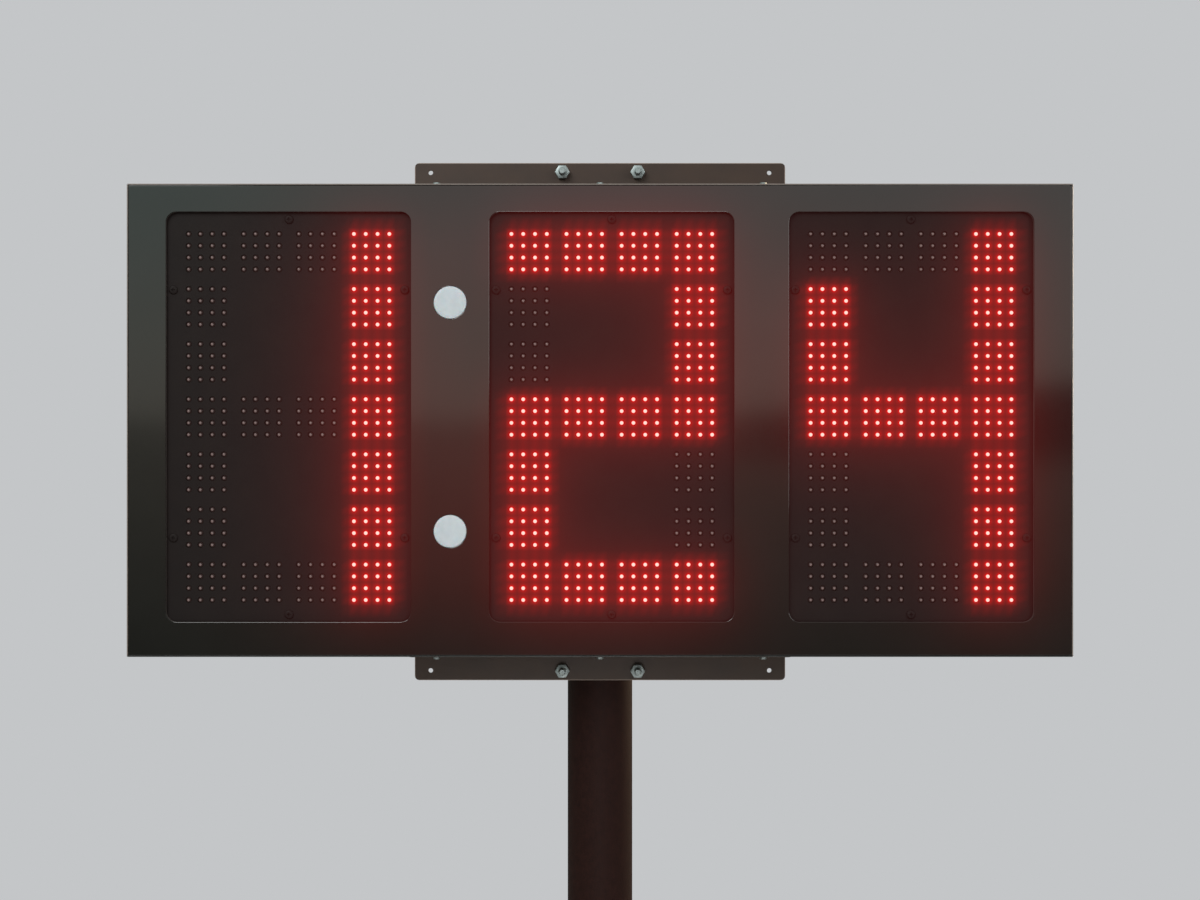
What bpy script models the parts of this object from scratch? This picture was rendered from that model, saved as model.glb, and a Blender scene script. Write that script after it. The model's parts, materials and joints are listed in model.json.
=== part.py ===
"""Pitch clock on a pole: a three-digit LED clock head, clamped to a round steel pole on a base plate.

Metres, +Z up. The front faces -Y and +X is to the viewer's right. The origin is the centre of the
base plate's underside, and the pole stands on the Z axis.
"""

import math

import bmesh
import bpy
from mathutils import Matrix, Vector

# Fits
TOUCH_GAP = 0.0003
HOLE_CLEARANCE = 0.0005

# Sides of round pieces and the shape of a rounded edge
ROUND_SIDES = 12
HOLE_SIDES = 16
POLE_SIDES = 48
COLON_SIDES = 24
SPACER_SIDES = 8
WHIP_SIDES = 10
U_BEND_STEPS = 14
CORNER_STEPS = 4
FRAME_CORNER_STEPS = 3
EDGE_STEPS = 3
ROUND_PROFILE = 0.5
MATCH = 1e-6

# Pole: 3 inch nominal pipe
POLE_RADIUS = 0.04445
POLE_WALL = 0.004
CAP_THICKNESS = 0.003
CAP_RIM_HEIGHT = 0.0018
CAP_CHAMFER = 0.0015
CAP_HOLLOW_DROP = 0.0006
CAP_SPIGOT_DEPTH = 0.018
CAP_SPIGOT_WALL = 0.003

# Base plate
BASE_SIDE = 0.3556
BASE_THICKNESS = 0.0127
BASE_CORNER = 0.020
ANCHOR_SPACING = 0.2794
ANCHOR_HOLE_RADIUS = 0.009
GUSSET_HEIGHT = 0.100
GUSSET_REACH = 0.075
GUSSET_NOSE = 0.012
GUSSET_THICKNESS = 0.008

# Cabinet: its width and height follow from the digits and the margins round them
CABINET_DEPTH = 0.1016
CABINET_CENTRE_HEIGHT = 1.550
SHEET_THICKNESS = 0.0016
RAIL_WALL = 0.0016
RAIL_LEDGE = 0.016
SHEET_EDGE_GAP = 0.0009
STRUT_OFFSET = 0.230
STRUT_WIDTH = 0.038
STRUT_DEPTH = 0.025
STRUT_WALL = 0.002
DRAIN_PLUG_INSET = 0.0116
DRAIN_PLUG_RADIUS = 0.0026
DRAIN_PLUG_TIP_RADIUS = 0.0018
DRAIN_PLUG_HEAD_HEIGHT = 0.0013
DRAIN_PLUG_STEM_RADIUS = 0.0016
DRAIN_PLUG_STEM_LENGTH = 0.006

# Mounting angles, their bolts and the pole clamps
ANGLE_LENGTH = 0.500
ANGLE_RISE = 0.044
ANGLE_REACH = 0.0762
ANGLE_THICKNESS = 0.004
ANGLE_CORNER = 0.006
ANGLE_BEND_RADIUS = 0.005
END_HOLE_INSET = 0.0214
END_HOLE_RADIUS = 0.0032
CLAMP_HEIGHT = 0.031
CLAMP_ROD_RADIUS = 0.005
CLAMP_SPACING = 0.1016
CLAMP_ROD_STANDOUT = 0.009
CLAMP_NUT_ACROSS_FLATS = 0.017
CLAMP_NUT_HEIGHT = 0.008
ANGLE_BOLT_INSET = 0.035
ANGLE_BOLT_DEPTH = 0.0475
ANGLE_BOLT_RADIUS = 0.0025
ANGLE_BOLT_ACROSS_FLATS = 0.008
ANGLE_BOLT_HEAD_HEIGHT = 0.0035
ANGLE_BOLT_LENGTH = 0.016
ANGLE_WASHER_RADIUS = 0.005
ANGLE_WASHER_THICKNESS = 0.001

# Digit windows, and the strips of the face round them: the wider strip leaves room for the colon
WINDOW_CORNER = 0.014
FACE_SIDE_MARGIN = 0.0502
FACE_TOP_MARGIN = 0.0360
FACE_BOTTOM_MARGIN = 0.0446
COLON_STRIP = 0.1006
PLAIN_STRIP = 0.0702
MASK_RECESS = 0.005
MASK_THICKNESS = 0.002
MASK_EDGE_GAP = 0.0008
GASKET_THICKNESS = 0.0012
GASKET_EDGE_GAP = 0.0015
FRAME_WALL = 0.0012
FRAME_FLANGE = 0.014
FRAME_LEDGE = 0.013
MASK_SCREW_SIDE_INSET = 0.0087
MASK_SCREW_END_INSET = 0.0095
MASK_SCREW_CORNER_DROP = 0.1045
MASK_SCREW_LIFT = 0.004
MASK_SCREW_HEAD_RADIUS = 0.0058
MASK_SCREW_HEAD_TOP_RADIUS = 0.0046
MASK_SCREW_HEAD_HEIGHT = 0.0022
MASK_SCREW_RIM_HEIGHT = 0.0009
BOARD_SETBACK = 0.006
BOARD_THICKNESS = 0.0016
BOARD_EDGE_GAP = 0.001
SPACER_RADIUS = 0.003
SPACER_INSET = 0.006
SPACER_CORNER_DROP = 0.0645

# Light-emitting diodes: four-by-four clusters on a grid of four columns and seven rows
LED_FILM_THICKNESS = 0.0004
LED_STANDOUT = 0.0016
LED_PITCH = 0.01524
LEDS_PER_CLUSTER_SIDE = 4
CLUSTER_PITCH = 0.07112
LED_SIDE_MARGIN = 0.02084
LED_END_MARGIN = 0.02066
SEGMENT_CLUSTERS = ("####", "#..#", "#..#", "####", "#..#", "#..#", "####")
NUMERALS = {
    "one": ("...#", "...#", "...#", "...#", "...#", "...#", "...#"),
    "two": ("####", "...#", "...#", "####", "#...", "#...", "####"),
    "four": ("...#", "#..#", "#..#", "####", "...#", "...#", "...#"),
}
SHOWN = (("left", "one"), ("middle", "two"), ("right", "four"))

# Colon lamps
COLON_LENS_RADIUS = 0.0209
COLON_LENS_GAP = 0.0006
COLON_LENS_THICKNESS = 0.0024
COLON_LENS_STANDOUT = 0.0006
COLON_FLANGE_RADIUS = 0.0255
COLON_FLANGE_THICKNESS = 0.002
COLON_SKIRT_WALL = 0.002
COLON_SKIRT_DEPTH = 0.014
COLON_RISE = 0.1474
COLON_BOARD_RADIUS = 0.0245
COLON_LAMP_RADIUS = 0.010
COLON_LAMP_HEIGHT = 0.006

# Electronics inside the cabinet
CASE_EDGE = 0.0015
SUPPLY_SIZE = (0.215, 0.030, 0.115)
SUPPLY_PLACE = (0.040, 0.110)
TERMINAL_SIZE = (0.012, 0.018, 0.090)
TERMINAL_WAYS = 6
TERMINAL_TOOTH_GAP = 0.003
TERMINAL_SPINE = 0.003
CONTROLLER_SIZE = (0.160, 0.100)
CONTROLLER_PLACE = (0.040, -0.060)
CONTROLLER_SPACER_LENGTH = 0.010
CONTROLLER_SPACER_RADIUS = 0.0035
CONTROLLER_SPACER_INSET = 0.008
CHIP_HEIGHT = 0.004
# Each chip's place across and up the board, and its width and height
CHIPS = (
    (-0.045, 0.020, 0.024, 0.024),
    (-0.010, 0.022, 0.016, 0.010),
    (-0.010, 0.002, 0.016, 0.010),
    (0.030, 0.015, 0.014, 0.018),
)
SOCKET_SIZE = (0.020, 0.009, 0.008)
SOCKET_INSET = 0.012
SOCKET_COUNT = 4
RADIO_SIZE = (0.070, 0.020, 0.045)
RADIO_PLACE = (-0.110, -0.150)

# Cable gland, power switch and aerial on the back panel, in a row above its lower edge
FITTINGS_RISE = 0.0648
GLAND_ACROSS = -0.110
GLAND_THREAD_RADIUS = 0.010
GLAND_BORE_RADIUS = 0.006
GLAND_NUT_ACROSS_FLATS = 0.026
GLAND_COLLAR_HEIGHT = 0.006
GLAND_DOME_RADIUS = 0.0115
GLAND_DOME_TIP_RADIUS = 0.0085
GLAND_DOME_HEIGHT = 0.016
GLAND_DOME_STRAIGHT = 0.0096
GLAND_THREAD_LENGTH = 0.012
SWITCH_ACROSS = -0.170
SWITCH_SLOT = (0.013, 0.024)
SWITCH_WALL = 0.002
SWITCH_FLANGE = 0.004
SWITCH_FLANGE_THICKNESS = 0.002
SWITCH_SLEEVE_DEPTH = 0.014
ROCKER_HALF_LENGTH = 0.0105
ROCKER_STANDOUT = 0.0035
ROCKER_DIP_STANDOUT = 0.0021
ROCKER_ROOT_DEPTH = 0.008
ROCKER_ROOT_HALF_LENGTH = 0.004
ROCKER_TILT = math.radians(9.0)
AERIAL_ACROSS = 0.110
AERIAL_STEM_RADIUS = 0.0045
AERIAL_STEM_LENGTH = 0.022
AERIAL_STEM_INSIDE = 0.007
AERIAL_FLANGE_RADIUS = 0.008
AERIAL_FLANGE_THICKNESS = 0.003
AERIAL_FORK_GAP = 0.005
AERIAL_FORK_WALL = 0.0025
AERIAL_FORK_HEIGHT = 0.009
AERIAL_WHIP_LENGTH = 0.105
AERIAL_WHIP_ROOT = 0.0036
AERIAL_WHIP_STRAIGHT = 0.037
AERIAL_WHIP_RADIUS = 0.0048
AERIAL_TIP_RADIUS = 0.0036
AERIAL_SHOULDER_RISE = 0.004

# Places that follow from the driving dimensions, in the head's own frame, whose height is zero at its centre
LED_COLUMNS = len(SEGMENT_CLUSTERS[0])
LED_ROWS = len(SEGMENT_CLUSTERS)
CLUSTER_SIDE = LEDS_PER_CLUSTER_SIDE * LED_PITCH
WINDOW_WIDTH = (LED_COLUMNS - 1) * CLUSTER_PITCH + CLUSTER_SIDE + 2 * LED_SIDE_MARGIN
WINDOW_HEIGHT = (LED_ROWS - 1) * CLUSTER_PITCH + CLUSTER_SIDE + 2 * LED_END_MARGIN
WINDOW_RISE = (FACE_BOTTOM_MARGIN - FACE_TOP_MARGIN) / 2
CABINET_WIDTH = 3 * WINDOW_WIDTH + COLON_STRIP + PLAIN_STRIP + 2 * FACE_SIDE_MARGIN
CABINET_HEIGHT = WINDOW_HEIGHT + FACE_TOP_MARGIN + FACE_BOTTOM_MARGIN
CABINET_BACK = -(POLE_RADIUS + TOUCH_GAP + ANGLE_THICKNESS)
FACE_Y = CABINET_BACK - CABINET_DEPTH
CABINET_TOP = CABINET_HEIGHT / 2
BACK_PANEL_FRONT = CABINET_DEPTH - SHEET_THICKNESS
LEFT_DIGIT_X = FACE_SIDE_MARGIN + (WINDOW_WIDTH - CABINET_WIDTH) / 2
MIDDLE_DIGIT_X = LEFT_DIGIT_X + WINDOW_WIDTH + COLON_STRIP
RIGHT_DIGIT_X = MIDDLE_DIGIT_X + WINDOW_WIDTH + PLAIN_STRIP
DIGIT_CENTRES = {"left": LEFT_DIGIT_X, "middle": MIDDLE_DIGIT_X, "right": RIGHT_DIGIT_X}
COLON_X = (LEFT_DIGIT_X + MIDDLE_DIGIT_X) / 2
FITTINGS_LEVEL = FITTINGS_RISE - CABINET_HEIGHT / 2
GLAND_PLACE = (GLAND_ACROSS, FITTINGS_LEVEL)
SWITCH_PLACE = (SWITCH_ACROSS, FITTINGS_LEVEL)
AERIAL_PLACE = (AERIAL_ACROSS, FITTINGS_LEVEL)
DRAIN_PLUG_OFFSET = CABINET_WIDTH / 2 - DRAIN_PLUG_INSET
END_HOLE_OFFSET = ANGLE_LENGTH / 2 - END_HOLE_INSET
ANGLE_BOLT_OFFSET = ANGLE_LENGTH / 2 - ANGLE_BOLT_INSET
MASK_SCREW_SIDE_RISE = WINDOW_HEIGHT / 2 - MASK_SCREW_CORNER_DROP
SPACER_RISE = WINDOW_HEIGHT / 2 - SPACER_CORNER_DROP
POLE_BOTTOM = BASE_THICKNESS + TOUCH_GAP
POLE_TOP = CABINET_CENTRE_HEIGHT + CABINET_TOP + ANGLE_RISE - CAP_THICKNESS - TOUCH_GAP
MASK_BACK = MASK_RECESS + MASK_THICKNESS
FRAME_FRONT = SHEET_THICKNESS + TOUCH_GAP
FRAME_LEDGE_FRONT = MASK_BACK + GASKET_THICKNESS + 2 * TOUCH_GAP
BOARD_FRONT = MASK_BACK + BOARD_SETBACK

# Turns a piece that was drawn standing on the XY plane so that its height runs to the front or to the back
TO_FRONT = Matrix.Rotation(math.pi / 2, 4, "X")
TO_BACK = Matrix.Rotation(-math.pi / 2, 4, "X")


def clear_scene():
    for thing in list(bpy.data.objects):
        bpy.data.objects.remove(thing, do_unlink=True)


def make_material(name, colour, roughness, metallic=0.0, glow=None):
    material = bpy.data.materials.new(name)
    material.use_nodes = True
    shader = material.node_tree.nodes["Principled BSDF"]
    shader.inputs["Base Color"].default_value = (*colour, 1.0)
    shader.inputs["Roughness"].default_value = roughness
    shader.inputs["Metallic"].default_value = metallic
    if glow:
        shader.inputs["Emission Color"].default_value = (*glow, 1.0)
        shader.inputs["Emission Strength"].default_value = 4.0
    material.diffuse_color = (*colour, 1.0)
    return material


def make_materials():
    return {
        "pole": make_material("bronze_textured_powder_coat", (0.024, 0.017, 0.012), 0.55),
        "cabinet": make_material("bronze_semi_gloss_powder_coat", (0.020, 0.018, 0.015), 0.30),
        "mask": make_material("matte_black_mask", (0.016, 0.013, 0.012), 0.85),
        "bracket": make_material("brown_powder_coat_steel", (0.045, 0.038, 0.032), 0.50),
        "zinc": make_material("zinc_plated_steel", (0.46, 0.48, 0.47), 0.38, 1.0),
        "aluminium": make_material("mill_aluminium", (0.56, 0.57, 0.58), 0.40, 1.0),
        "lit": make_material("lit_red_epoxy", (0.80, 0.10, 0.06), 0.25, 0.0, (1.0, 0.18, 0.10)),
        "unlit": make_material("unlit_red_epoxy", (0.16, 0.06, 0.055), 0.30),
        "lens": make_material("white_diffuser", (0.56, 0.60, 0.62), 0.35),
        "board": make_material("green_circuit_board", (0.020, 0.090, 0.040), 0.45),
        "chip": make_material("black_moulded_plastic", (0.015, 0.015, 0.016), 0.50),
        "rubber": make_material("black_sponge_rubber", (0.012, 0.012, 0.012), 0.90),
        "nylon": make_material("grey_nylon", (0.050, 0.050, 0.052), 0.55),
    }


def make_empty(name, location, parent=None):
    empty = bpy.data.objects.new(name, None)
    bpy.context.scene.collection.objects.link(empty)
    empty.location = location
    empty.parent = parent
    return empty


def place(thing, material, parent, location, rotation):
    bpy.context.scene.collection.objects.link(thing)
    if material:
        thing.data.materials.append(material)
    thing.parent = parent
    thing.location = location
    thing.rotation_euler = rotation
    return thing


def finish(name, shape, material, parent, location=(0, 0, 0), rotation=(0, 0, 0)):
    """Turns a bmesh into a placed object, its faces outwards and its round sides smooth."""
    bmesh.ops.recalc_face_normals(shape, faces=shape.faces)
    mesh = bpy.data.meshes.new(name)
    shape.to_mesh(mesh)
    shape.free()
    mesh.shade_smooth()
    mesh.set_sharp_from_angle(angle=math.radians(35))
    return place(bpy.data.objects.new(name, mesh), material, parent, location, rotation)


def combine(thing, other, operation):
    """Cuts a hidden shape out of a piece (DIFFERENCE), or joins it on (UNION)."""
    other.hide_render = True
    other.display_type = "WIRE"
    boolean = thing.modifiers.new(operation.lower() + " " + other.name, "BOOLEAN")
    boolean.operation = operation
    boolean.solver = "EXACT"
    boolean.object = other


def loft(shape, rings, matrix=None, loop=False):
    """Skins a row of rings with the same number of points. A loop joins its last ring to its first."""
    matrix = matrix or Matrix.Identity(4)
    rows = [[shape.verts.new(matrix @ Vector(point)) for point in ring] for ring in rings]
    count = len(rows[0])
    pairs = list(zip(rows, rows[1:]))
    if loop:
        pairs.append((rows[-1], rows[0]))
    for near, far in pairs:
        for i in range(count):
            j = (i + 1) % count
            shape.faces.new((near[i], near[j], far[j], far[i]))
    if not loop:
        shape.faces.new(rows[0])
        shape.faces.new(rows[-1])


def circle(radius, height=0.0, sides=ROUND_SIDES, centre=(0.0, 0.0)):
    step = 2 * math.pi / sides
    return [
        (centre[0] + radius * math.cos(i * step), centre[1] + radius * math.sin(i * step), height)
        for i in range(sides)
    ]


def hexagon(across_flats, height=0.0, sides=ROUND_SIDES, centre=(0.0, 0.0)):
    """A hexagon with corners at the left and right, as many points as the circles that it is skinned to."""
    points = []
    for i in range(sides):
        turn = 2 * math.pi * i / sides
        from_flat = (turn % (math.pi / 3)) - math.pi / 6
        radius = across_flats / 2 / math.cos(from_flat)
        points.append((centre[0] + radius * math.cos(turn), centre[1] + radius * math.sin(turn), height))
    return points


def rounded_rectangle(width, height, radius, centre=(0.0, 0.0), steps=CORNER_STEPS):
    """Corner arcs counter-clockwise from the right, each of steps + 1 points."""
    points = []
    for quarter, (side_x, side_y) in enumerate(((1, 1), (-1, 1), (-1, -1), (1, -1))):
        arc_x = centre[0] + side_x * (width / 2 - radius)
        arc_y = centre[1] + side_y * (height / 2 - radius)
        for i in range(steps + 1):
            turn = math.pi / 2 * (quarter + i / steps)
            points.append((arc_x + radius * math.cos(turn), arc_y + radius * math.sin(turn), 0.0))
    return points


def rectangle(width, height, level=0.0, centre=(0.0, 0.0)):
    return [
        (centre[0] + side_x * width / 2, centre[1] + side_y * height / 2, level)
        for side_x, side_y in ((1, 1), (-1, 1), (-1, -1), (1, -1))
    ]


def block(shape, size, centre):
    """A box of the given size on X, Y and Z."""
    level = centre[2] - size[2] / 2
    loft(
        shape,
        [
            rectangle(size[0], size[1], level, centre),
            rectangle(size[0], size[1], level + size[2], centre),
        ],
    )


def round_edges(shape, edges, radius, steps):
    """Round these edges. First all faces are made to look outwards: only between such faces is an edge cut."""
    bmesh.ops.recalc_face_normals(shape, faces=shape.faces)
    bmesh.ops.bevel(shape, geom=edges, offset=radius, segments=steps, profile=ROUND_PROFILE, affect="EDGES")


def plate(name, outlines, thickness, material, parent, location):
    """A flat sheet cut to closed outlines, the inner ones its holes.

    The outlines are drawn in X and Z. Its front is at the location's Y and its thickness runs to the back.
    """
    shape = bmesh.new()
    for outline in outlines:
        corners = [shape.verts.new((x, 0.0, z)) for x, z, _ in outline]
        for near, far in zip(corners, corners[1:] + corners[:1]):
            shape.edges.new((near, far))
    bmesh.ops.triangle_fill(shape, edges=list(shape.edges), use_beauty=True)
    grown = bmesh.ops.extrude_face_region(shape, geom=list(shape.faces))
    moved = [part for part in grown["geom"] if isinstance(part, bmesh.types.BMVert)]
    bmesh.ops.translate(shape, verts=moved, vec=(0.0, thickness, 0.0))
    return finish(name, shape, material, parent, location)


def rod(name, route, radius, material, parent):
    """A round bar along an open route of points."""
    curve = bpy.data.curves.new(name, "CURVE")
    curve.dimensions = "3D"
    curve.bevel_depth = radius
    curve.bevel_resolution = 2
    curve.use_fill_caps = True
    spline = curve.splines.new("POLY")
    spline.points.add(len(route) - 1)
    for point, where in zip(spline.points, route):
        point.co = (*where, 1.0)
    return place(bpy.data.objects.new(name, curve), material, parent, (0, 0, 0), (0, 0, 0))


def behind_face(depth):
    """The Y of a plane that lies this far behind the face sheet's front."""
    return FACE_Y + depth


def make_base(materials, stand):
    """The base plate, with four gussets welded on round the pole."""
    half = ANCHOR_SPACING / 2
    holes = [
        circle(ANCHOR_HOLE_RADIUS, 0.0, HOLE_SIDES, (side_x * half, side_y * half))
        for side_x in (-1, 1)
        for side_y in (-1, 1)
    ]
    outline = rounded_rectangle(BASE_SIDE, BASE_SIDE, BASE_CORNER)
    base = plate("base_plate", [outline, *holes], BASE_THICKNESS, materials["pole"], stand, (0, 0, 0))
    base.rotation_euler = (math.pi / 2, 0, 0)

    gussets = bmesh.new()
    inner = POLE_RADIUS + TOUCH_GAP
    root = BASE_THICKNESS / 2
    side = [
        (inner, root),
        (inner + GUSSET_REACH, root),
        (inner + GUSSET_REACH, BASE_THICKNESS + GUSSET_NOSE),
        (inner + GUSSET_NOSE, BASE_THICKNESS + GUSSET_HEIGHT),
        (inner, BASE_THICKNESS + GUSSET_HEIGHT),
    ]
    for i in range(4):
        turn = Matrix.Rotation(math.pi / 2 * i, 4, "Z")
        rings = [[(x, y, z) for x, z in side] for y in (-GUSSET_THICKNESS / 2, GUSSET_THICKNESS / 2)]
        loft(gussets, rings, turn)
    combine(base, finish("gussets", gussets, None, stand), "UNION")


def make_pole(materials, stand):
    pole = bmesh.new()
    inner = POLE_RADIUS - POLE_WALL
    rings = [
        circle(inner, POLE_BOTTOM, POLE_SIDES),
        circle(POLE_RADIUS, POLE_BOTTOM, POLE_SIDES),
        circle(POLE_RADIUS, POLE_TOP, POLE_SIDES),
        circle(inner, POLE_TOP, POLE_SIDES),
    ]
    loft(pole, rings, loop=True)
    finish("pole", pole, materials["pole"], stand)

    cap = bmesh.new()
    spigot = inner - TOUCH_GAP - HOLE_CLEARANCE
    sides = POLE_SIDES // 2
    rings = [
        circle(spigot - CAP_SPIGOT_WALL, -CAP_SPIGOT_DEPTH, sides),
        circle(spigot, -CAP_SPIGOT_DEPTH, sides),
        circle(spigot, 0.0, sides),
        circle(POLE_RADIUS, 0.0, sides),
        circle(POLE_RADIUS, CAP_RIM_HEIGHT, sides),
        circle(POLE_RADIUS - CAP_CHAMFER, CAP_THICKNESS, sides),
    ]
    hollow = circle(spigot - CAP_SPIGOT_WALL, -CAP_HOLLOW_DROP, sides)
    loft(cap, [hollow, *rings])
    finish("pole_cap", cap, materials["pole"], stand, (0, 0, POLE_TOP + TOUCH_GAP))


def angle_shape():
    """The upper angle: its foot lies on the cabinet's top and its upright stands behind it."""
    shape = bmesh.new()
    back = CABINET_BACK + ANGLE_THICKNESS
    front = back - ANGLE_REACH
    side = [
        (front, 0.0),
        (front, ANGLE_THICKNESS),
        (CABINET_BACK, ANGLE_THICKNESS),
        (CABINET_BACK, ANGLE_RISE),
        (back, ANGLE_RISE),
        (back, 0.0),
    ]
    loft(shape, [[(x, y, z) for y, z in side] for x in (-ANGLE_LENGTH / 2, ANGLE_LENGTH / 2)])

    def free_corner(edge):
        a, b = (vertex.co for vertex in edge.verts)
        at_end = abs(abs(a.x) - ANGLE_LENGTH / 2) < MATCH and abs(a.x - b.x) < MATCH
        on_upright = abs(a.z - ANGLE_RISE) < MATCH and abs(b.z - ANGLE_RISE) < MATCH
        on_foot = abs(a.y - front) < MATCH and abs(b.y - front) < MATCH
        return at_end and (on_upright or on_foot)

    def outer_bend(edge):
        return all(abs(v.co.y - back) < MATCH and abs(v.co.z) < MATCH for v in edge.verts)

    round_edges(shape, [edge for edge in shape.edges if outer_bend(edge)], ANGLE_BEND_RADIUS, EDGE_STEPS)
    round_edges(shape, [edge for edge in shape.edges if free_corner(edge)], ANGLE_CORNER, EDGE_STEPS)
    return shape


def angle_cutters(name, head, flip):
    """The holes of one angle: for the clamp's rods, at the two ends, and for the bolts into the cabinet."""
    shape = bmesh.new()
    far = 3 * ANGLE_THICKNESS
    upright = Matrix.Translation((0, CABINET_BACK + far / 2, 0)) @ TO_FRONT
    for x, radius in (
        (-CLAMP_SPACING / 2, CLAMP_ROD_RADIUS + HOLE_CLEARANCE),
        (CLAMP_SPACING / 2, CLAMP_ROD_RADIUS + HOLE_CLEARANCE),
        (-END_HOLE_OFFSET, END_HOLE_RADIUS),
        (END_HOLE_OFFSET, END_HOLE_RADIUS),
    ):
        centre = (x, CLAMP_HEIGHT)
        loft(shape, [circle(radius, h, ROUND_SIDES, centre) for h in (-far / 2, far)], upright)
    for _, x in angle_bolt_offsets():
        centre = (x, behind_face(ANGLE_BOLT_DEPTH))
        radius = ANGLE_BOLT_RADIUS + HOLE_CLEARANCE
        loft(shape, [circle(radius, h, ROUND_SIDES, centre) for h in (-far, far)])
    return finish(name, shape, None, head, (0, 0, flip * (CABINET_TOP + TOUCH_GAP)), flipped(flip))


def flipped(flip):
    """The rotation of a piece that is drawn for the cabinet's top, or of its copy underneath."""
    return (0, 0, 0) if flip > 0 else (0, math.pi, 0)


def make_mounting_angles(materials, head):
    for side, flip in (("top", 1), ("bottom", -1)):
        level = flip * (CABINET_TOP + TOUCH_GAP)
        angle = finish(
            side + "_mounting_angle", angle_shape(), materials["bracket"], head, (0, 0, level), flipped(flip)
        )
        combine(angle, angle_cutters(side + "_angle_holes", head, flip), "DIFFERENCE")


def make_clamps(materials, head):
    """A U-bolt round the pole at the top and the bottom, and the nuts on the front of the uprights."""
    half = CLAMP_SPACING / 2
    bend_centre = POLE_RADIUS + TOUCH_GAP + CLAMP_ROD_RADIUS - half
    nut_back = CABINET_BACK - TOUCH_GAP
    rod_end = nut_back - CLAMP_NUT_HEIGHT - CLAMP_ROD_STANDOUT
    steps = U_BEND_STEPS
    for side, flip in (("top", 1), ("bottom", -1)):
        level = flip * (CABINET_TOP + TOUCH_GAP + CLAMP_HEIGHT)
        bend = [
            (half * math.cos(math.pi * i / steps), bend_centre + half * math.sin(math.pi * i / steps), level)
            for i in range(steps + 1)
        ]
        route = [(half, rod_end, level), *bend, (-half, rod_end, level)]
        rod(side + "_u_bolt", route, CLAMP_ROD_RADIUS, materials["zinc"], head)
        for hand, x in (("left", -half), ("right", half)):
            nut = bmesh.new()
            hole = CLAMP_ROD_RADIUS + TOUCH_GAP
            rings = [
                circle(hole, 0.0),
                hexagon(CLAMP_NUT_ACROSS_FLATS, 0.0),
                hexagon(CLAMP_NUT_ACROSS_FLATS, CLAMP_NUT_HEIGHT),
                circle(hole, CLAMP_NUT_HEIGHT),
            ]
            loft(nut, rings, TO_FRONT, loop=True)
            finish(side + "_clamp_nut_" + hand, nut, materials["zinc"], head, (x, nut_back, level))


def make_angle_bolts(materials, head):
    """Washer-head bolts through the feet of the angles into the cabinet's rails."""
    washer = TOUCH_GAP + ANGLE_THICKNESS + TOUCH_GAP
    under_head = washer + ANGLE_WASHER_THICKNESS
    for side, flip in (("top", 1), ("bottom", -1)):
        for hand, x in angle_bolt_offsets():
            bolt = bmesh.new()
            rings = [
                circle(ANGLE_BOLT_RADIUS, under_head - ANGLE_BOLT_LENGTH),
                circle(ANGLE_BOLT_RADIUS, washer),
                circle(ANGLE_WASHER_RADIUS, washer),
                circle(ANGLE_WASHER_RADIUS, under_head),
                hexagon(ANGLE_BOLT_ACROSS_FLATS, under_head),
                hexagon(ANGLE_BOLT_ACROSS_FLATS, under_head + ANGLE_BOLT_HEAD_HEIGHT),
            ]
            loft(bolt, rings)
            where = (x, behind_face(ANGLE_BOLT_DEPTH), flip * CABINET_TOP)
            finish(side + "_angle_bolt_" + hand, bolt, materials["zinc"], head, where, flipped(flip))


def angle_bolt_offsets():
    return (("left", -ANGLE_BOLT_OFFSET), ("middle", 0.0), ("right", ANGLE_BOLT_OFFSET))


def make_rails(materials, head):
    """Four mitred channels round the cabinet, with a ledge that seats the face sheet and one for the back."""
    seat = SHEET_THICKNESS + TOUCH_GAP
    ledge_back = seat + RAIL_WALL
    far = CABINET_DEPTH
    channel = [
        (0.0, 0.0),
        (RAIL_WALL, 0.0),
        (RAIL_WALL, seat),
        (RAIL_LEDGE, seat),
        (RAIL_LEDGE, ledge_back),
        (RAIL_WALL, ledge_back),
        (RAIL_WALL, far - ledge_back),
        (RAIL_LEDGE, far - ledge_back),
        (RAIL_LEDGE, far - seat),
        (RAIL_WALL, far - seat),
        (RAIL_WALL, far),
        (0.0, far),
    ]
    rails = (
        ("top_rail", CABINET_WIDTH, CABINET_HEIGHT, 0),
        ("right_rail", CABINET_HEIGHT, CABINET_WIDTH, 1),
        ("bottom_rail", CABINET_WIDTH, CABINET_HEIGHT, 2),
        ("left_rail", CABINET_HEIGHT, CABINET_WIDTH, 3),
    )
    for name, length, across, quarter in rails:
        shape = bmesh.new()
        rings = [
            [(end * (length / 2 - inward - TOUCH_GAP), depth, -inward) for inward, depth in channel]
            for end in (-1, 1)
        ]
        loft(shape, rings)
        turn = math.pi / 2 * quarter
        location = (math.sin(turn) * across / 2, FACE_Y, math.cos(turn) * across / 2)
        rail = finish(name, shape, materials["cabinet"], head, location, (0, turn, 0))
        if name in ("top_rail", "bottom_rail"):
            combine(rail, rail_holes(name + "_holes", head, 1 if name == "top_rail" else -1), "DIFFERENCE")


def rail_holes(name, head, flip):
    """Holes for the angle's bolts, and below also for the drain plugs."""
    holes = [(x, ANGLE_BOLT_DEPTH, ANGLE_BOLT_RADIUS + HOLE_CLEARANCE) for _, x in angle_bolt_offsets()]
    if flip < 0:
        for x in (-DRAIN_PLUG_OFFSET, DRAIN_PLUG_OFFSET):
            holes.append((x, CABINET_DEPTH / 2, DRAIN_PLUG_STEM_RADIUS + TOUCH_GAP))
    shape = bmesh.new()
    reach = 3 * RAIL_WALL
    for x, depth, radius in holes:
        where = Matrix.Translation((x, behind_face(depth), flip * CABINET_TOP))
        loft(shape, [circle(radius, h) for h in (-reach, reach)], where)
    return finish(name, shape, None, head)


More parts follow.
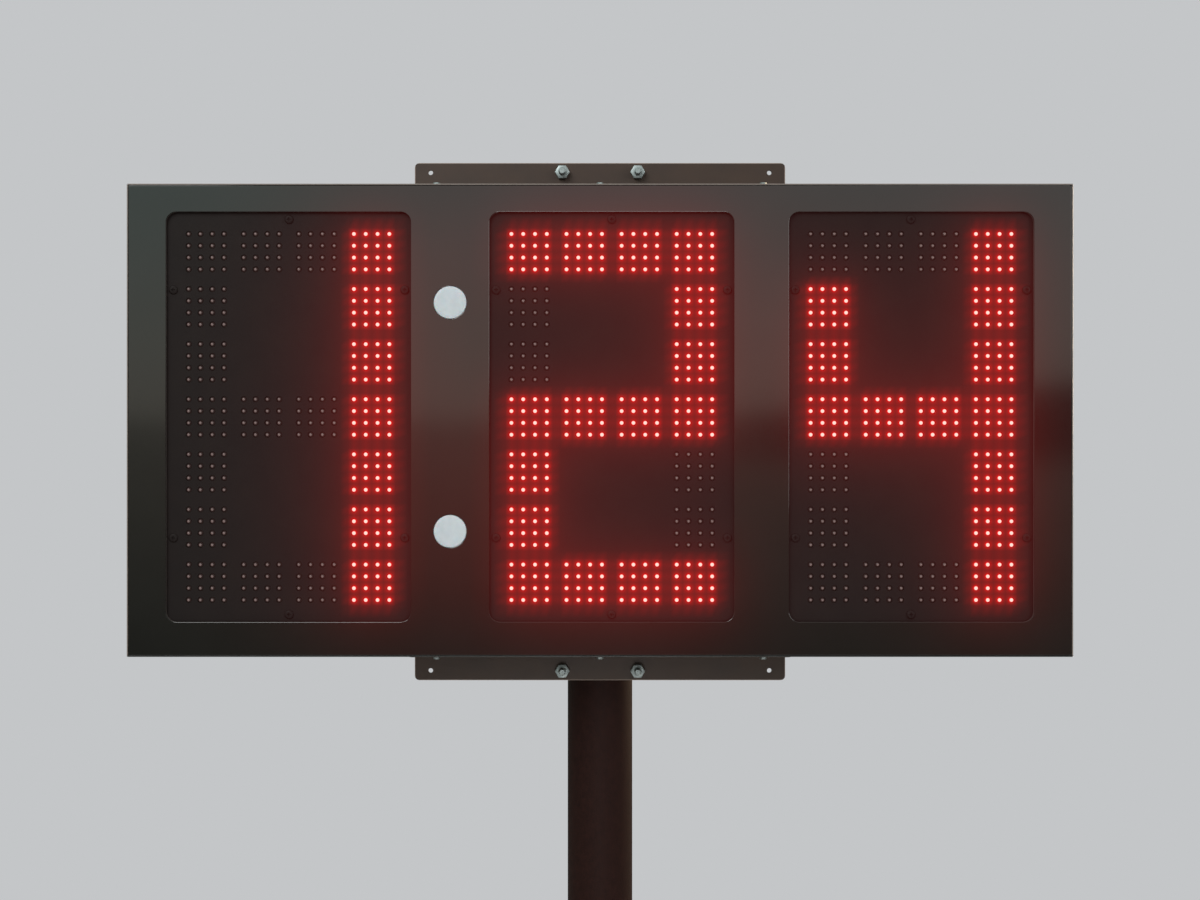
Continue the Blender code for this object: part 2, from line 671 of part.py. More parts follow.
def make_drain_plugs(materials, head):
    for hand, x in (("left", -DRAIN_PLUG_OFFSET), ("right", DRAIN_PLUG_OFFSET)):
        plug = bmesh.new()
        rings = [
            circle(DRAIN_PLUG_TIP_RADIUS, -DRAIN_PLUG_HEAD_HEIGHT),
            circle(DRAIN_PLUG_RADIUS, 0.0),
            circle(DRAIN_PLUG_STEM_RADIUS, 0.0),
            circle(DRAIN_PLUG_STEM_RADIUS, DRAIN_PLUG_STEM_LENGTH),
        ]
        loft(plug, rings)
        where = (x, behind_face(CABINET_DEPTH / 2), -CABINET_TOP - TOUCH_GAP)
        finish("drain_plug_" + hand, plug, materials["nylon"], head, where)


def make_struts(materials, head):
    """Two upright channels that tie the top and bottom rails together behind the digits."""
    shape_height = CABINET_HEIGHT - 2 * (RAIL_WALL + TOUCH_GAP)
    back = CABINET_DEPTH - SHEET_THICKNESS - RAIL_WALL - 2 * TOUCH_GAP
    half = STRUT_WIDTH / 2
    channel = [
        (-half, back),
        (-half, back - STRUT_DEPTH),
        (half, back - STRUT_DEPTH),
        (half, back),
        (half - STRUT_WALL, back),
        (half - STRUT_WALL, back - STRUT_DEPTH + STRUT_WALL),
        (-half + STRUT_WALL, back - STRUT_DEPTH + STRUT_WALL),
        (-half + STRUT_WALL, back),
    ]
    for name, x in (("left_strut", -STRUT_OFFSET), ("right_strut", STRUT_OFFSET)):
        shape = bmesh.new()
        rings = [
            [(across, behind_face(depth), level) for across, depth in channel]
            for level in (-shape_height / 2, shape_height / 2)
        ]
        loft(shape, rings)
        finish(name, shape, materials["aluminium"], head, (x, 0, 0))


def sheet_outline():
    """The outline that fits inside the rails' lips, for the face and the back alike."""
    inset = RAIL_WALL + SHEET_EDGE_GAP
    return rectangle(CABINET_WIDTH - 2 * inset, CABINET_HEIGHT - 2 * inset)


def make_face_sheet(materials, head):
    outlines = [sheet_outline()]
    for x in DIGIT_CENTRES.values():
        outlines.append(rounded_rectangle(WINDOW_WIDTH, WINDOW_HEIGHT, WINDOW_CORNER, (x, WINDOW_RISE)))
    for side in (-1, 1):
        centre = (COLON_X, WINDOW_RISE + side * COLON_RISE)
        outlines.append(circle(COLON_LENS_RADIUS + COLON_LENS_GAP, 0.0, COLON_SIDES, centre))
    plate("face_sheet", outlines, SHEET_THICKNESS, materials["cabinet"], head, (0, FACE_Y, 0))


def make_back_panel(materials, head):
    slot_x, slot_z = SWITCH_SLOT
    sleeve = 2 * (SWITCH_WALL + TOUCH_GAP)
    outlines = [
        sheet_outline(),
        circle(GLAND_THREAD_RADIUS + HOLE_CLEARANCE, 0.0, HOLE_SIDES, GLAND_PLACE),
        rectangle(slot_x + sleeve, slot_z + sleeve, 0.0, SWITCH_PLACE),
        circle(AERIAL_STEM_RADIUS + HOLE_CLEARANCE, 0.0, ROUND_SIDES, AERIAL_PLACE),
    ]
    front = behind_face(BACK_PANEL_FRONT)
    plate("back_panel", outlines, SHEET_THICKNESS, materials["cabinet"], head, (0, front, 0))


def mask_screw_places(centre_x):
    side_x = WINDOW_WIDTH / 2 - MASK_SCREW_SIDE_INSET
    end_z = WINDOW_HEIGHT / 2 - MASK_SCREW_END_INSET
    rise = MASK_SCREW_SIDE_RISE
    offsets = [(x, MASK_SCREW_LIFT + z) for x in (-side_x, side_x) for z in (-rise, rise)]
    offsets += [(0.0, -end_z), (0.0, end_z)]
    return [(centre_x + x, WINDOW_RISE + z) for x, z in offsets]


def ring_of_window(offset):
    """The window's outline moved outwards, or inwards where the offset is negative."""
    return rounded_rectangle(
        WINDOW_WIDTH + 2 * offset,
        WINDOW_HEIGHT + 2 * offset,
        WINDOW_CORNER + offset,
        steps=FRAME_CORNER_STEPS,
    )


def make_window_frame(side, centre_x, materials, head):
    """A Z-section ring: its flange lies behind the face sheet and its ledge carries gasket and mask."""
    flange_back = FRAME_FRONT + FRAME_WALL
    ledge_back = FRAME_LEDGE_FRONT + FRAME_WALL
    section = [
        (FRAME_FLANGE, FRAME_FRONT),
        (0.0, FRAME_FRONT),
        (0.0, FRAME_LEDGE_FRONT),
        (-FRAME_LEDGE, FRAME_LEDGE_FRONT),
        (-FRAME_LEDGE, ledge_back),
        (FRAME_WALL, ledge_back),
        (FRAME_WALL, flange_back),
        (FRAME_FLANGE, flange_back),
    ]
    outlines = [ring_of_window(offset) for offset, _ in section]
    shape = bmesh.new()
    rings = [
        [(outline[i][0], depth, outline[i][1]) for outline, (_, depth) in zip(outlines, section)]
        for i in range(len(outlines[0]))
    ]
    loft(shape, rings, loop=True)
    where = (centre_x, FACE_Y, WINDOW_RISE)
    finish(side + "_window_frame", shape, materials["aluminium"], head, where)


def make_digit_panel(side, centre_x, materials, head):
    """The mask with its six screws, the gasket under its rim and the board on its spacers behind it."""
    centre = (centre_x, WINDOW_RISE)
    gap = MASK_EDGE_GAP
    width, height = WINDOW_WIDTH - 2 * gap, WINDOW_HEIGHT - 2 * gap
    outline = rounded_rectangle(width, height, WINDOW_CORNER - gap, centre)
    front = (0, behind_face(MASK_RECESS), 0)
    mask = plate(side + "_mask", [outline], MASK_THICKNESS, materials["mask"], head, front)
    heads = bmesh.new()
    for x, z in mask_screw_places(centre_x):
        where = Matrix.Translation((x, behind_face(MASK_RECESS), z)) @ TO_FRONT
        rings = [
            circle(MASK_SCREW_HEAD_RADIUS, -MASK_THICKNESS / 2),
            circle(MASK_SCREW_HEAD_RADIUS, MASK_SCREW_RIM_HEIGHT),
            circle(MASK_SCREW_HEAD_TOP_RADIUS, MASK_SCREW_HEAD_HEIGHT),
        ]
        loft(heads, rings, where)
    combine(mask, finish(side + "_mask_screw_heads", heads, None, head), "UNION")

    gap = GASKET_EDGE_GAP
    inner = FRAME_LEDGE
    opening = (WINDOW_WIDTH - 2 * inner, WINDOW_HEIGHT - 2 * inner)
    outlines = [
        rounded_rectangle(WINDOW_WIDTH - 2 * gap, WINDOW_HEIGHT - 2 * gap, WINDOW_CORNER - gap, centre, 2),
        rounded_rectangle(opening[0], opening[1], WINDOW_CORNER - inner, centre, 1),
    ]
    front = (0, behind_face(MASK_BACK + TOUCH_GAP), 0)
    plate(side + "_gasket", outlines, GASKET_THICKNESS, materials["rubber"], head, front)

    inset = FRAME_LEDGE + BOARD_EDGE_GAP
    outline = rectangle(WINDOW_WIDTH - 2 * inset, WINDOW_HEIGHT - 2 * inset, 0.0, centre)
    front = (0, behind_face(BOARD_FRONT), 0)
    board = plate(side + "_led_board", [outline], BOARD_THICKNESS, materials["board"], head, front)
    spacers = bmesh.new()
    for x, z in spacer_places(centre_x):
        where = Matrix.Translation((x, behind_face(MASK_BACK) + TOUCH_GAP, z)) @ TO_BACK
        length = BOARD_SETBACK - TOUCH_GAP + BOARD_THICKNESS / 2
        loft(spacers, [circle(SPACER_RADIUS, h, SPACER_SIDES) for h in (0.0, length)], where)
    combine(board, finish(side + "_board_spacers", spacers, None, head), "UNION")


def spacer_places(centre_x):
    x_offset = WINDOW_WIDTH / 2 - FRAME_LEDGE - BOARD_EDGE_GAP - SPACER_INSET
    for x in (-x_offset, x_offset):
        for z in (-SPACER_RISE, 0.0, SPACER_RISE):
            yield centre_x + x, WINDOW_RISE + z


def unlit_pattern(lit):
    return [
        "".join("#" if there == "#" and on != "#" else "." for there, on in zip(*rows))
        for rows in zip(SEGMENT_CLUSTERS, lit)
    ]


def connected_clusters(pattern):
    """The marked clusters, as groups that touch side by side."""
    left = {(row, column) for row, marks in enumerate(pattern) for column, m in enumerate(marks) if m == "#"}
    groups = []
    while left:
        group = set()
        front = [min(left)]
        while front:
            cell = front.pop()
            if cell not in left:
                continue
            left.remove(cell)
            group.add(cell)
            row, column = cell
            front += [(row - 1, column), (row + 1, column), (row, column - 1), (row, column + 1)]
        groups.append(group)
    return groups


def grid_lines(clusters):
    """The borders of the LED cells along one direction, from the digit's centre outwards."""
    cells = LEDS_PER_CLUSTER_SIDE
    return [
        (i - (clusters - 1) / 2) * CLUSTER_PITCH + (j - cells / 2) * LED_PITCH
        for i in range(clusters)
        for j in range(cells + 1)
    ]


def led_film(group):
    """One film with a low point over each LED of the clusters, and a flat web from cluster to cluster."""
    shape = bmesh.new()
    columns = grid_lines(LED_COLUMNS)
    rows = grid_lines(LED_ROWS)
    across = LEDS_PER_CLUSTER_SIDE + 1
    corners = {}

    def corner(i, j):
        """The film's back and front points where two borders cross."""
        if (i, j) not in corners:
            levels = (0.0, -LED_FILM_THICKNESS)
            corners[i, j] = [shape.verts.new((columns[i], level, -rows[j])) for level in levels]
        return corners[i, j]

    def covered(i, j):
        """Whether the cell right of line i and below line j holds an LED (2), a web (1) or nothing (0)."""
        web_x = i % across == across - 1
        web_z = j % across == across - 1
        if web_x and web_z:
            return 0
        here = (j // across, i // across)
        after = (here[0] + web_z, here[1] + web_x)
        if here in group and after in group:
            return 1 if web_x or web_z else 2
        return 0

    flat = []
    for i in range(len(columns) - 1):
        for j in range(len(rows) - 1):
            kind = covered(i, j)
            if not kind:
                continue
            ring = [corner(i, j), corner(i + 1, j), corner(i + 1, j + 1), corner(i, j + 1)]
            back, front = (list(points) for points in zip(*ring))
            flat.append(shape.faces.new(back))
            if kind == 1:
                shape.faces.new(front)
                continue
            middle = ((columns[i] + columns[i + 1]) / 2, -(rows[j] + rows[j + 1]) / 2)
            tip = shape.verts.new((middle[0], -LED_STANDOUT, middle[1]))
            for near, far in zip(front, front[1:] + front[:1]):
                shape.faces.new((near, far, tip))
    front_of = dict(corners.values())
    for edge in [edge for edge in shape.edges if edge.is_boundary and edge.verts[0] in front_of]:
        near, far = edge.verts
        shape.faces.new((near, far, front_of[far], front_of[near]))
    bmesh.ops.recalc_face_normals(shape, faces=shape.faces)
    bmesh.ops.dissolve_faces(shape, faces=flat)
    return shape


def make_leds(side, numeral, materials, head):
    """The lit and the unlit LEDs of one digit, each connected group on a film of its own."""
    lit = NUMERALS[numeral]
    place_of_film = (DIGIT_CENTRES[side], behind_face(MASK_RECESS) - TOUCH_GAP, WINDOW_RISE)
    for state, pattern in (("lit", lit), ("unlit", unlit_pattern(lit))):
        groups = connected_clusters(pattern)
        for count, group in enumerate(groups, 1):
            suffix = "_" + str(count) if len(groups) > 1 else ""
            name = side + "_" + state + "_leds" + suffix
            leds = finish(name, led_film(group), materials[state], head, place_of_film)
            leds.data.shade_flat()


def make_colon(materials, head):
    lens_front = -COLON_LENS_STANDOUT
    flange_front = SHEET_THICKNESS + TOUCH_GAP
    flange_back = flange_front + COLON_FLANGE_THICKNESS
    inner = COLON_LENS_RADIUS - COLON_SKIRT_WALL
    skirt_end = flange_back + COLON_SKIRT_DEPTH
    for name, side in (("upper", 1), ("lower", -1)):
        level = WINDOW_RISE + side * COLON_RISE
        lens = bmesh.new()
        rings = [
            circle(inner, -(lens_front + COLON_LENS_THICKNESS), COLON_SIDES),
            circle(inner, -skirt_end, COLON_SIDES),
            circle(COLON_LENS_RADIUS, -skirt_end, COLON_SIDES),
            circle(COLON_LENS_RADIUS, -flange_back, COLON_SIDES),
            circle(COLON_FLANGE_RADIUS, -flange_back, COLON_SIDES),
            circle(COLON_FLANGE_RADIUS, -flange_front, COLON_SIDES),
            circle(COLON_LENS_RADIUS, -flange_front, COLON_SIDES),
            circle(COLON_LENS_RADIUS, -lens_front, COLON_SIDES),
        ]
        loft(lens, rings, TO_FRONT)
        finish("colon_lens_" + name, lens, materials["lens"], head, (COLON_X, FACE_Y, level))

        lamp = bmesh.new()
        board_front = skirt_end + TOUCH_GAP
        rings = [
            circle(COLON_BOARD_RADIUS, -(board_front + BOARD_THICKNESS)),
            circle(COLON_BOARD_RADIUS, -board_front),
            circle(COLON_LAMP_RADIUS, -board_front),
            circle(COLON_LAMP_RADIUS, -board_front + COLON_LAMP_HEIGHT),
        ]
        loft(lamp, rings, TO_FRONT)
        finish("colon_lamp_" + name, lamp, materials["board"], head, (COLON_X, FACE_Y, level))


def terminal_comb(width, height):
    """The outline of a terminal strip: one tooth for each way, on a spine."""
    step = height / TERMINAL_WAYS
    root = width / 2 - TERMINAL_SPINE
    points = [(width / 2, -height / 2), (width / 2, height / 2)]
    for i in range(TERMINAL_WAYS - 1):
        top = height / 2 - i * step
        under = top - step + TERMINAL_TOOTH_GAP
        points += [(-width / 2, top), (-width / 2, under), (root, under), (root, top - step)]
    points += [(-width / 2, step - height / 2), (-width / 2, -height / 2)]
    return [(x, z, 0.0) for x, z in points]


def make_electronics(materials, head):
    panel = behind_face(BACK_PANEL_FRONT) - TOUCH_GAP
    supply = bmesh.new()
    width, depth, height = SUPPLY_SIZE
    block(supply, SUPPLY_SIZE, (0, 0, 0))
    round_edges(supply, list(supply.edges), CASE_EDGE, 1)
    x, z = SUPPLY_PLACE
    finish("power_supply", supply, materials["aluminium"], head, (x, panel - depth / 2, z))

    strip_width, strip_depth, strip_height = TERMINAL_SIZE
    comb = terminal_comb(strip_width, strip_height)
    where = (x - width / 2 - TOUCH_GAP - strip_width / 2, panel - strip_depth, z)
    plate("terminal_block", [comb], strip_depth, materials["chip"], head, where)

    x, z = CONTROLLER_PLACE
    board_width, board_height = CONTROLLER_SIZE
    board_front = panel - CONTROLLER_SPACER_LENGTH - BOARD_THICKNESS
    outline = rectangle(board_width, board_height)
    board = plate("controller_board", [outline], BOARD_THICKNESS, materials["board"], head, (x, board_front, z))
    fitted = bmesh.new()
    sunk = BOARD_THICKNESS / 2
    for across, up, chip_width, chip_height in CHIPS:
        size = (chip_width, CHIP_HEIGHT + sunk, chip_height)
        block(fitted, size, (across, (sunk - CHIP_HEIGHT) / 2, up))
    socket_width, socket_depth, socket_height = SOCKET_SIZE
    for i in range(SOCKET_COUNT):
        across = (i - (SOCKET_COUNT - 1) / 2) * board_width / SOCKET_COUNT
        size = (socket_width, socket_depth + sunk, socket_height)
        block(fitted, size, (across, (sunk - socket_depth) / 2, SOCKET_INSET - board_height / 2))
    for side_x in (-1, 1):
        for side_z in (-1, 1):
            spacer_x = side_x * (board_width / 2 - CONTROLLER_SPACER_INSET)
            spacer_z = side_z * (board_height / 2 - CONTROLLER_SPACER_INSET)
            turned = Matrix.Translation((spacer_x, sunk, spacer_z)) @ TO_BACK
            levels = (0.0, BOARD_THICKNESS - sunk + CONTROLLER_SPACER_LENGTH)
            loft(fitted, [circle(CONTROLLER_SPACER_RADIUS, h, SPACER_SIDES) for h in levels], turned)
    combine(board, finish("controller_parts", fitted, None, head, (x, board_front, z)), "UNION")

    radio = bmesh.new()
    block(radio, RADIO_SIZE, (0, 0, 0))
    round_edges(radio, list(radio.edges), CASE_EDGE, 1)
    x, z = RADIO_PLACE
    finish("radio_receiver", radio, materials["chip"], head, (x, panel - RADIO_SIZE[1] / 2, z))


def make_gland(materials, head):
    """The supply cord's gland: a body through the back panel, with a domed cap outside and an open bore."""
    x, z = GLAND_PLACE
    back = behind_face(CABINET_DEPTH) + TOUCH_GAP
    bore = GLAND_BORE_RADIUS
    body = bmesh.new()
    collar = GLAND_COLLAR_HEIGHT
    rings = [
        circle(bore, -TOUCH_GAP - SHEET_THICKNESS - GLAND_THREAD_LENGTH),
        circle(GLAND_THREAD_RADIUS, -TOUCH_GAP - SHEET_THICKNESS - GLAND_THREAD_LENGTH),
        circle(GLAND_THREAD_RADIUS, 0.0),
        hexagon(GLAND_NUT_ACROSS_FLATS, 0.0),
        hexagon(GLAND_NUT_ACROSS_FLATS, collar),
        circle(GLAND_DOME_RADIUS, collar),
        circle(GLAND_DOME_RADIUS, collar + GLAND_DOME_STRAIGHT),
        circle(GLAND_DOME_TIP_RADIUS, collar + GLAND_DOME_HEIGHT),
        circle(bore, collar + GLAND_DOME_HEIGHT),
    ]
    loft(body, rings, TO_BACK, loop=True)
    finish("cable_gland", body, materials["nylon"], head, (x, back, z))


def make_switch(materials, head):
    """A rocker in a sleeve through the back panel. It turns on an axis along X, at the sleeve's mouth."""
    x, z = SWITCH_PLACE
    back = behind_face(CABINET_DEPTH) + TOUCH_GAP
    slot_x, slot_z = SWITCH_SLOT
    sleeve = bmesh.new()
    section = (
        (0.0, SWITCH_FLANGE_THICKNESS),
        (SWITCH_WALL + SWITCH_FLANGE, SWITCH_FLANGE_THICKNESS),
        (SWITCH_WALL + SWITCH_FLANGE, 0.0),
        (SWITCH_WALL, 0.0),
        (SWITCH_WALL, -SWITCH_SLEEVE_DEPTH),
        (0.0, -SWITCH_SLEEVE_DEPTH),
    )
    rings = [
        rectangle(slot_x + 2 * outward, slot_z + 2 * outward, level) for outward, level in section
    ]
    loft(sleeve, rings, TO_BACK, loop=True)
    finish("switch_body", sleeve, materials["chip"], head, (x, back, z))

    pivot = make_empty("switch_pivot", (x, back, z), head)
    pivot.rotation_euler = (ROCKER_TILT, 0, 0)
    rocker = bmesh.new()
    side = (
        (-ROCKER_HALF_LENGTH, ROCKER_STANDOUT),
        (0.0, ROCKER_DIP_STANDOUT),
        (ROCKER_HALF_LENGTH, ROCKER_STANDOUT),
        (ROCKER_ROOT_HALF_LENGTH, -ROCKER_ROOT_DEPTH),
        (-ROCKER_ROOT_HALF_LENGTH, -ROCKER_ROOT_DEPTH),
    )
    half = slot_x / 2 - TOUCH_GAP
    loft(rocker, [[(across, out, up) for up, out in side] for across in (-half, half)])
    finish("switch_rocker", rocker, materials["nylon"], pivot)


def make_aerial(materials, head):
    """A stub aerial whose whip folds on a fork behind the back panel."""
    x, z = AERIAL_PLACE
    back = behind_face(CABINET_DEPTH) + TOUCH_GAP
    stem = bmesh.new()
    inside = -TOUCH_GAP - SHEET_THICKNESS - AERIAL_STEM_INSIDE
    rings = [
        circle(AERIAL_STEM_RADIUS, inside),
        circle(AERIAL_STEM_RADIUS, 0.0),
        circle(AERIAL_FLANGE_RADIUS, 0.0),
        circle(AERIAL_FLANGE_RADIUS, AERIAL_FLANGE_THICKNESS),
        circle(AERIAL_STEM_RADIUS, AERIAL_FLANGE_THICKNESS),
        circle(AERIAL_STEM_RADIUS, AERIAL_STEM_LENGTH),
    ]
    loft(stem, rings, TO_BACK)
    holder = finish("aerial_holder", stem, materials["zinc"], head, (x, back, z))

    half_gap = AERIAL_FORK_GAP / 2
    outer = half_gap + AERIAL_FORK_WALL
    half_depth = AERIAL_STEM_RADIUS
    pivot_out = AERIAL_STEM_LENGTH + AERIAL_FORK_HEIGHT
    root = AERIAL_STEM_LENGTH - AERIAL_FORK_WALL
    floor = AERIAL_STEM_LENGTH + AERIAL_FORK_WALL
    tip = pivot_out + half_depth
    profile = [
        (-outer, root),
        (outer, root),
        (outer, tip),
        (half_gap, tip),
        (half_gap, floor),
        (-half_gap, floor),
        (-half_gap, tip),
        (-outer, tip),
    ]
    fork = bmesh.new()
    loft(fork, [[(across, out, up) for across, out in profile] for up in (-half_depth, half_depth)])
    combine(holder, finish("aerial_fork", fork, None, head, (x, back, z)), "UNION")

    pivot = make_empty("aerial_pivot", (x, back + pivot_out, z), head)
    whip = bmesh.new()
    blade = AERIAL_FORK_GAP / 2 - TOUCH_GAP
    shoulder = half_depth + AERIAL_SHOULDER_RISE
    rings = [
        circle(blade, -AERIAL_WHIP_ROOT, WHIP_SIDES),
        circle(blade, shoulder, WHIP_SIDES),
        circle(AERIAL_WHIP_RADIUS, shoulder, WHIP_SIDES),
        circle(AERIAL_WHIP_RADIUS, AERIAL_WHIP_STRAIGHT, WHIP_SIDES),
        circle(AERIAL_TIP_RADIUS, AERIAL_WHIP_LENGTH, WHIP_SIDES),
    ]
    loft(whip, rings)
    finish("aerial_whip", whip, materials["rubber"], pivot)


def build():
    clear_scene()
    materials = make_materials()
    stand = make_empty("stand", (0, 0, 0))
    head = make_empty("clock_head", (0, 0, CABINET_CENTRE_HEIGHT))
    make_base(materials, stand)
    make_pole(materials, stand)
    make_mounting_angles(materials, head)
    make_clamps(materials, head)
    make_angle_bolts(materials, head)
    make_rails(materials, head)
    make_drain_plugs(materials, head)
    make_struts(materials, head)
    make_face_sheet(materials, head)
    make_back_panel(materials, head)
    for side, numeral in SHOWN:
        make_window_frame(side, DIGIT_CENTRES[side], materials, head)
        make_digit_panel(side, DIGIT_CENTRES[side], materials, head)
        make_leds(side, numeral, materials, head)
    make_colon(materials, head)
    make_electronics(materials, head)
    make_gland(materials, head)
    make_switch(materials, head)
    make_aerial(materials, head)


build()
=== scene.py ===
"""A pitch clock on its pole, dressed over its CAD frame: a lesson in cells."""

# %% [markdown]
# # A pitch clock on its pole
# A pitch clock counts seconds beside a playing field. It is a shallow sheet-metal cabinet with three
# digits of red light-emitting diodes, clamped to a round pole. The CAD frame already has every part at
# its real size, so this lesson only gives the parts their fine shape and their finish.
# Everything is in metres. The front faces -Y, +X is to the viewer's right and +Z is up.

# %% Load the frame
import json
import math

import bmesh
import bpy
import numpy as np
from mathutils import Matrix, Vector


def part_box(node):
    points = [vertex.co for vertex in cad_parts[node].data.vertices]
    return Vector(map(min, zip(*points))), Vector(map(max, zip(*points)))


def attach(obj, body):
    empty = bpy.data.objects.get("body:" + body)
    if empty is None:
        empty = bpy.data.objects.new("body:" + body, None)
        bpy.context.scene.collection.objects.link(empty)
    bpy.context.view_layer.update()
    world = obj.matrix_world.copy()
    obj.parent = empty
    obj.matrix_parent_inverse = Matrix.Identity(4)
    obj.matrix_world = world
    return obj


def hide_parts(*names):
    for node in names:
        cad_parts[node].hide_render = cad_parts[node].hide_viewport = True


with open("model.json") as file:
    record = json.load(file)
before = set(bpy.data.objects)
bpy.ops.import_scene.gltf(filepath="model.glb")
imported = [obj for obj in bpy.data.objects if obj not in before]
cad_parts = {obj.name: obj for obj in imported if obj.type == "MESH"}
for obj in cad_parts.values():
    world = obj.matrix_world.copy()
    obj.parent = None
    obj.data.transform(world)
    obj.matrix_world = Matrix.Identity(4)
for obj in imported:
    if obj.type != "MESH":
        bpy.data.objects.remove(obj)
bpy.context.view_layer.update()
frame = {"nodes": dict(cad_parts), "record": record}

MM = 0.001
NODES = frame["nodes"]
RECORD = frame["record"]
SLOT_OF = {part["node"]: part["material_slot"] for part in RECORD["subparts"]}
BODY_OF = {node: body for body, nodes in RECORD["behaviour"]["bodies"].items() for node in nodes}

# %% [markdown]
# ## Camera
# The photograph looks straight at the face from 2.25 m, a little below the cabinet's middle, so the pole
# leaves the picture below. The focal length follows from the distance and the cabinet's real width.

# %% Camera
IMAGE_WIDTH = 1200
FOCAL_PIXELS = 1630.6
SENSOR_WIDTH = 36.0
CAMERA_PLACE = (0.0, -2.2504, 1.5117)


def in_scene(name, data):
    """Link camera, mesh or light data into the scene as an object."""
    made = bpy.data.objects.new(name, data)
    bpy.context.scene.collection.objects.link(made)
    return made


camera_data = bpy.data.cameras.new("photo_camera")
camera_data.sensor_fit = "HORIZONTAL"
camera_data.sensor_width = SENSOR_WIDTH
camera_data.lens = SENSOR_WIDTH * FOCAL_PIXELS / IMAGE_WIDTH
camera_data.clip_end = 200.0
camera = in_scene("photo_camera", camera_data)
camera.location = CAMERA_PLACE
camera.rotation_euler = (math.radians(90), 0, 0)
bpy.context.scene.camera = camera
print("lens", round(camera_data.lens, 2), "mm")

# %% [markdown]
# ## Tools for materials
# Colours are written as the hex values one would pick from a picture, and a renderer mixes light in
# linear values, so one function converts them. Another adds a shader node with its settings and links,
# and the rest stand for the nodes that come back most often.


# %% Colour and node helpers
def linear(hex_colour):
    """sRGB hex to linear RGBA: each channel over 12.92 near black, else ((c + 0.055) / 1.055) ** 2.4."""
    channels = np.array([int(hex_colour[i:i + 2], 16) for i in (1, 3, 5)]) / 255
    low, high = channels / 12.92, ((channels + 0.055) / 1.055) ** 2.4
    return (*np.where(channels <= 0.04045, low, high), 1.0)


def add(tree, kind, inputs=None, stops=(), **settings):
    """Add a node: settings are its properties, inputs are values or sockets, and stops fill a ramp."""
    made = tree.nodes.new("ShaderNode" + kind)
    for name, value in settings.items():
        setattr(made, name, value)
    for socket, value in (inputs or {}).items():
        if isinstance(value, bpy.types.NodeSocket):
            tree.links.new(value, made.inputs[socket])
        else:
            made.inputs[socket].default_value = value
    for number, (position, colour) in enumerate(stops):
        ramp = made.color_ramp.elements
        stop = ramp[number] if number < 2 else ramp.new(position)
        stop.position, stop.color = position, linear(colour)
    return made


def mixed(tree, factor, first, second, **settings):
    """A colour between first and second, each a hex colour or a socket."""
    first, second = (linear(end) if isinstance(end, str) else end for end in (first, second))
    inputs = {0: factor, 6: first, 7: second}
    return add(tree, "Mix", inputs, data_type="RGBA", **settings).outputs[2]


def ranged(tree, value, source, target=(0.0, 1.0)):
    """The value's way through the source range, clamped, as a share of the target range."""
    inputs = {0: value, 1: source[0], 2: source[1], 3: target[0], 4: target[1]}
    return add(tree, "MapRange", inputs).outputs[0]


def worked(tree, operation, *values):
    """One step of arithmetic on sockets or numbers."""
    return add(tree, "Math", dict(enumerate(values)), operation=operation).outputs[0]


def noise(tree, vector, size_mm, detail=2.0):
    """Noise whose patches are about size_mm wide."""
    inputs = {"Vector": vector, "Scale": 1 / (size_mm * MM), "Detail": detail}
    return add(tree, "TexNoise", inputs).outputs[0]


def start_material(name):
    """An empty node tree with its shader, its output and a socket with object coordinates in metres."""
    material = bpy.data.materials.new(name)
    material.use_nodes = True
    tree = material.node_tree
    tree.nodes.clear()
    shader = add(tree, "BsdfPrincipled")
    add(tree, "OutputMaterial", {"Surface": shader.outputs[0]})
    place = add(tree, "TexCoord").outputs["Object"]
    return material, tree, shader, place


def shader_of(material):
    """A material's node tree and its shader."""
    tree = material.node_tree
    return tree, next(item for item in tree.nodes if item.type == "BSDF_PRINCIPLED")


def set_constants(shader, constants):
    """Set inputs of a shader by their names, with _ for each blank."""
    for socket, value in constants.items():
        shader.inputs[socket.replace("_", " ")].default_value = value


# %% [markdown]
# ## One recipe for even finishes
# Paint, plating, moulded plastic and rubber are all nearly even surfaces with three things that the
# eye reads: slow patches of colour, a fine grain that catches light, and a roughness that wanders.
# Each finish below gives this recipe its own colours and its real grain size in millimetres.


# %% Even finishes
NOISE_RANGE = (0.3, 0.7)


def even_finish(name, dark, light, patch_mm, grain_mm, rough, bump_mm, speck=0.25, stretch=(1, 1, 1),
                **constants):
    """Colour = dark to light by slow noise plus a share of fine grain, which roughness and height follow."""
    material, tree, shader, place = start_material(name)
    turned = add(tree, "Mapping", {"Vector": place, "Scale": stretch}).outputs[0]
    patch, grain = noise(tree, turned, patch_mm, 3.0), noise(tree, turned, grain_mm)
    blend = add(tree, "Mix", {"Factor": speck, "A": patch, "B": grain}).outputs[0]
    colour = mixed(tree, ranged(tree, blend, NOISE_RANGE), dark, light)
    bump = add(tree, "Bump", {"Height": grain, "Strength": 1.0, "Distance": bump_mm * MM})
    tree.links.new(colour, shader.inputs["Base Color"])
    tree.links.new(ranged(tree, grain, NOISE_RANGE, rough), shader.inputs["Roughness"])
    tree.links.new(bump.outputs[0], shader.inputs["Normal"])
    set_constants(shader, constants)
    return material


# %% [markdown]
# ## Painted metal
# The cabinet's aluminium has a semi-gloss powder coat that mirrors the surroundings softly. The angles
# have a flatter, browner powder, and the pole and its base plate a fine-textured bronze one.
# The coat is painted pale along the lips of the top and side rails and round the angles: a painted
# highlight where these edges catch the light. A band of coordinates finds these edges: the distances
# from the cabinet's middle at which the painted highlight starts and is strongest.


# %% Painted metal
CABINET_MIDDLE = (0.0, -0.09955, 1.55)
RAIL_LIP_BAND = (0.0503, 0.0506)
ANGLE_END_BAND = (0.2489, 0.2497)
ANGLE_EDGE_BAND = (0.3480, 0.3488)


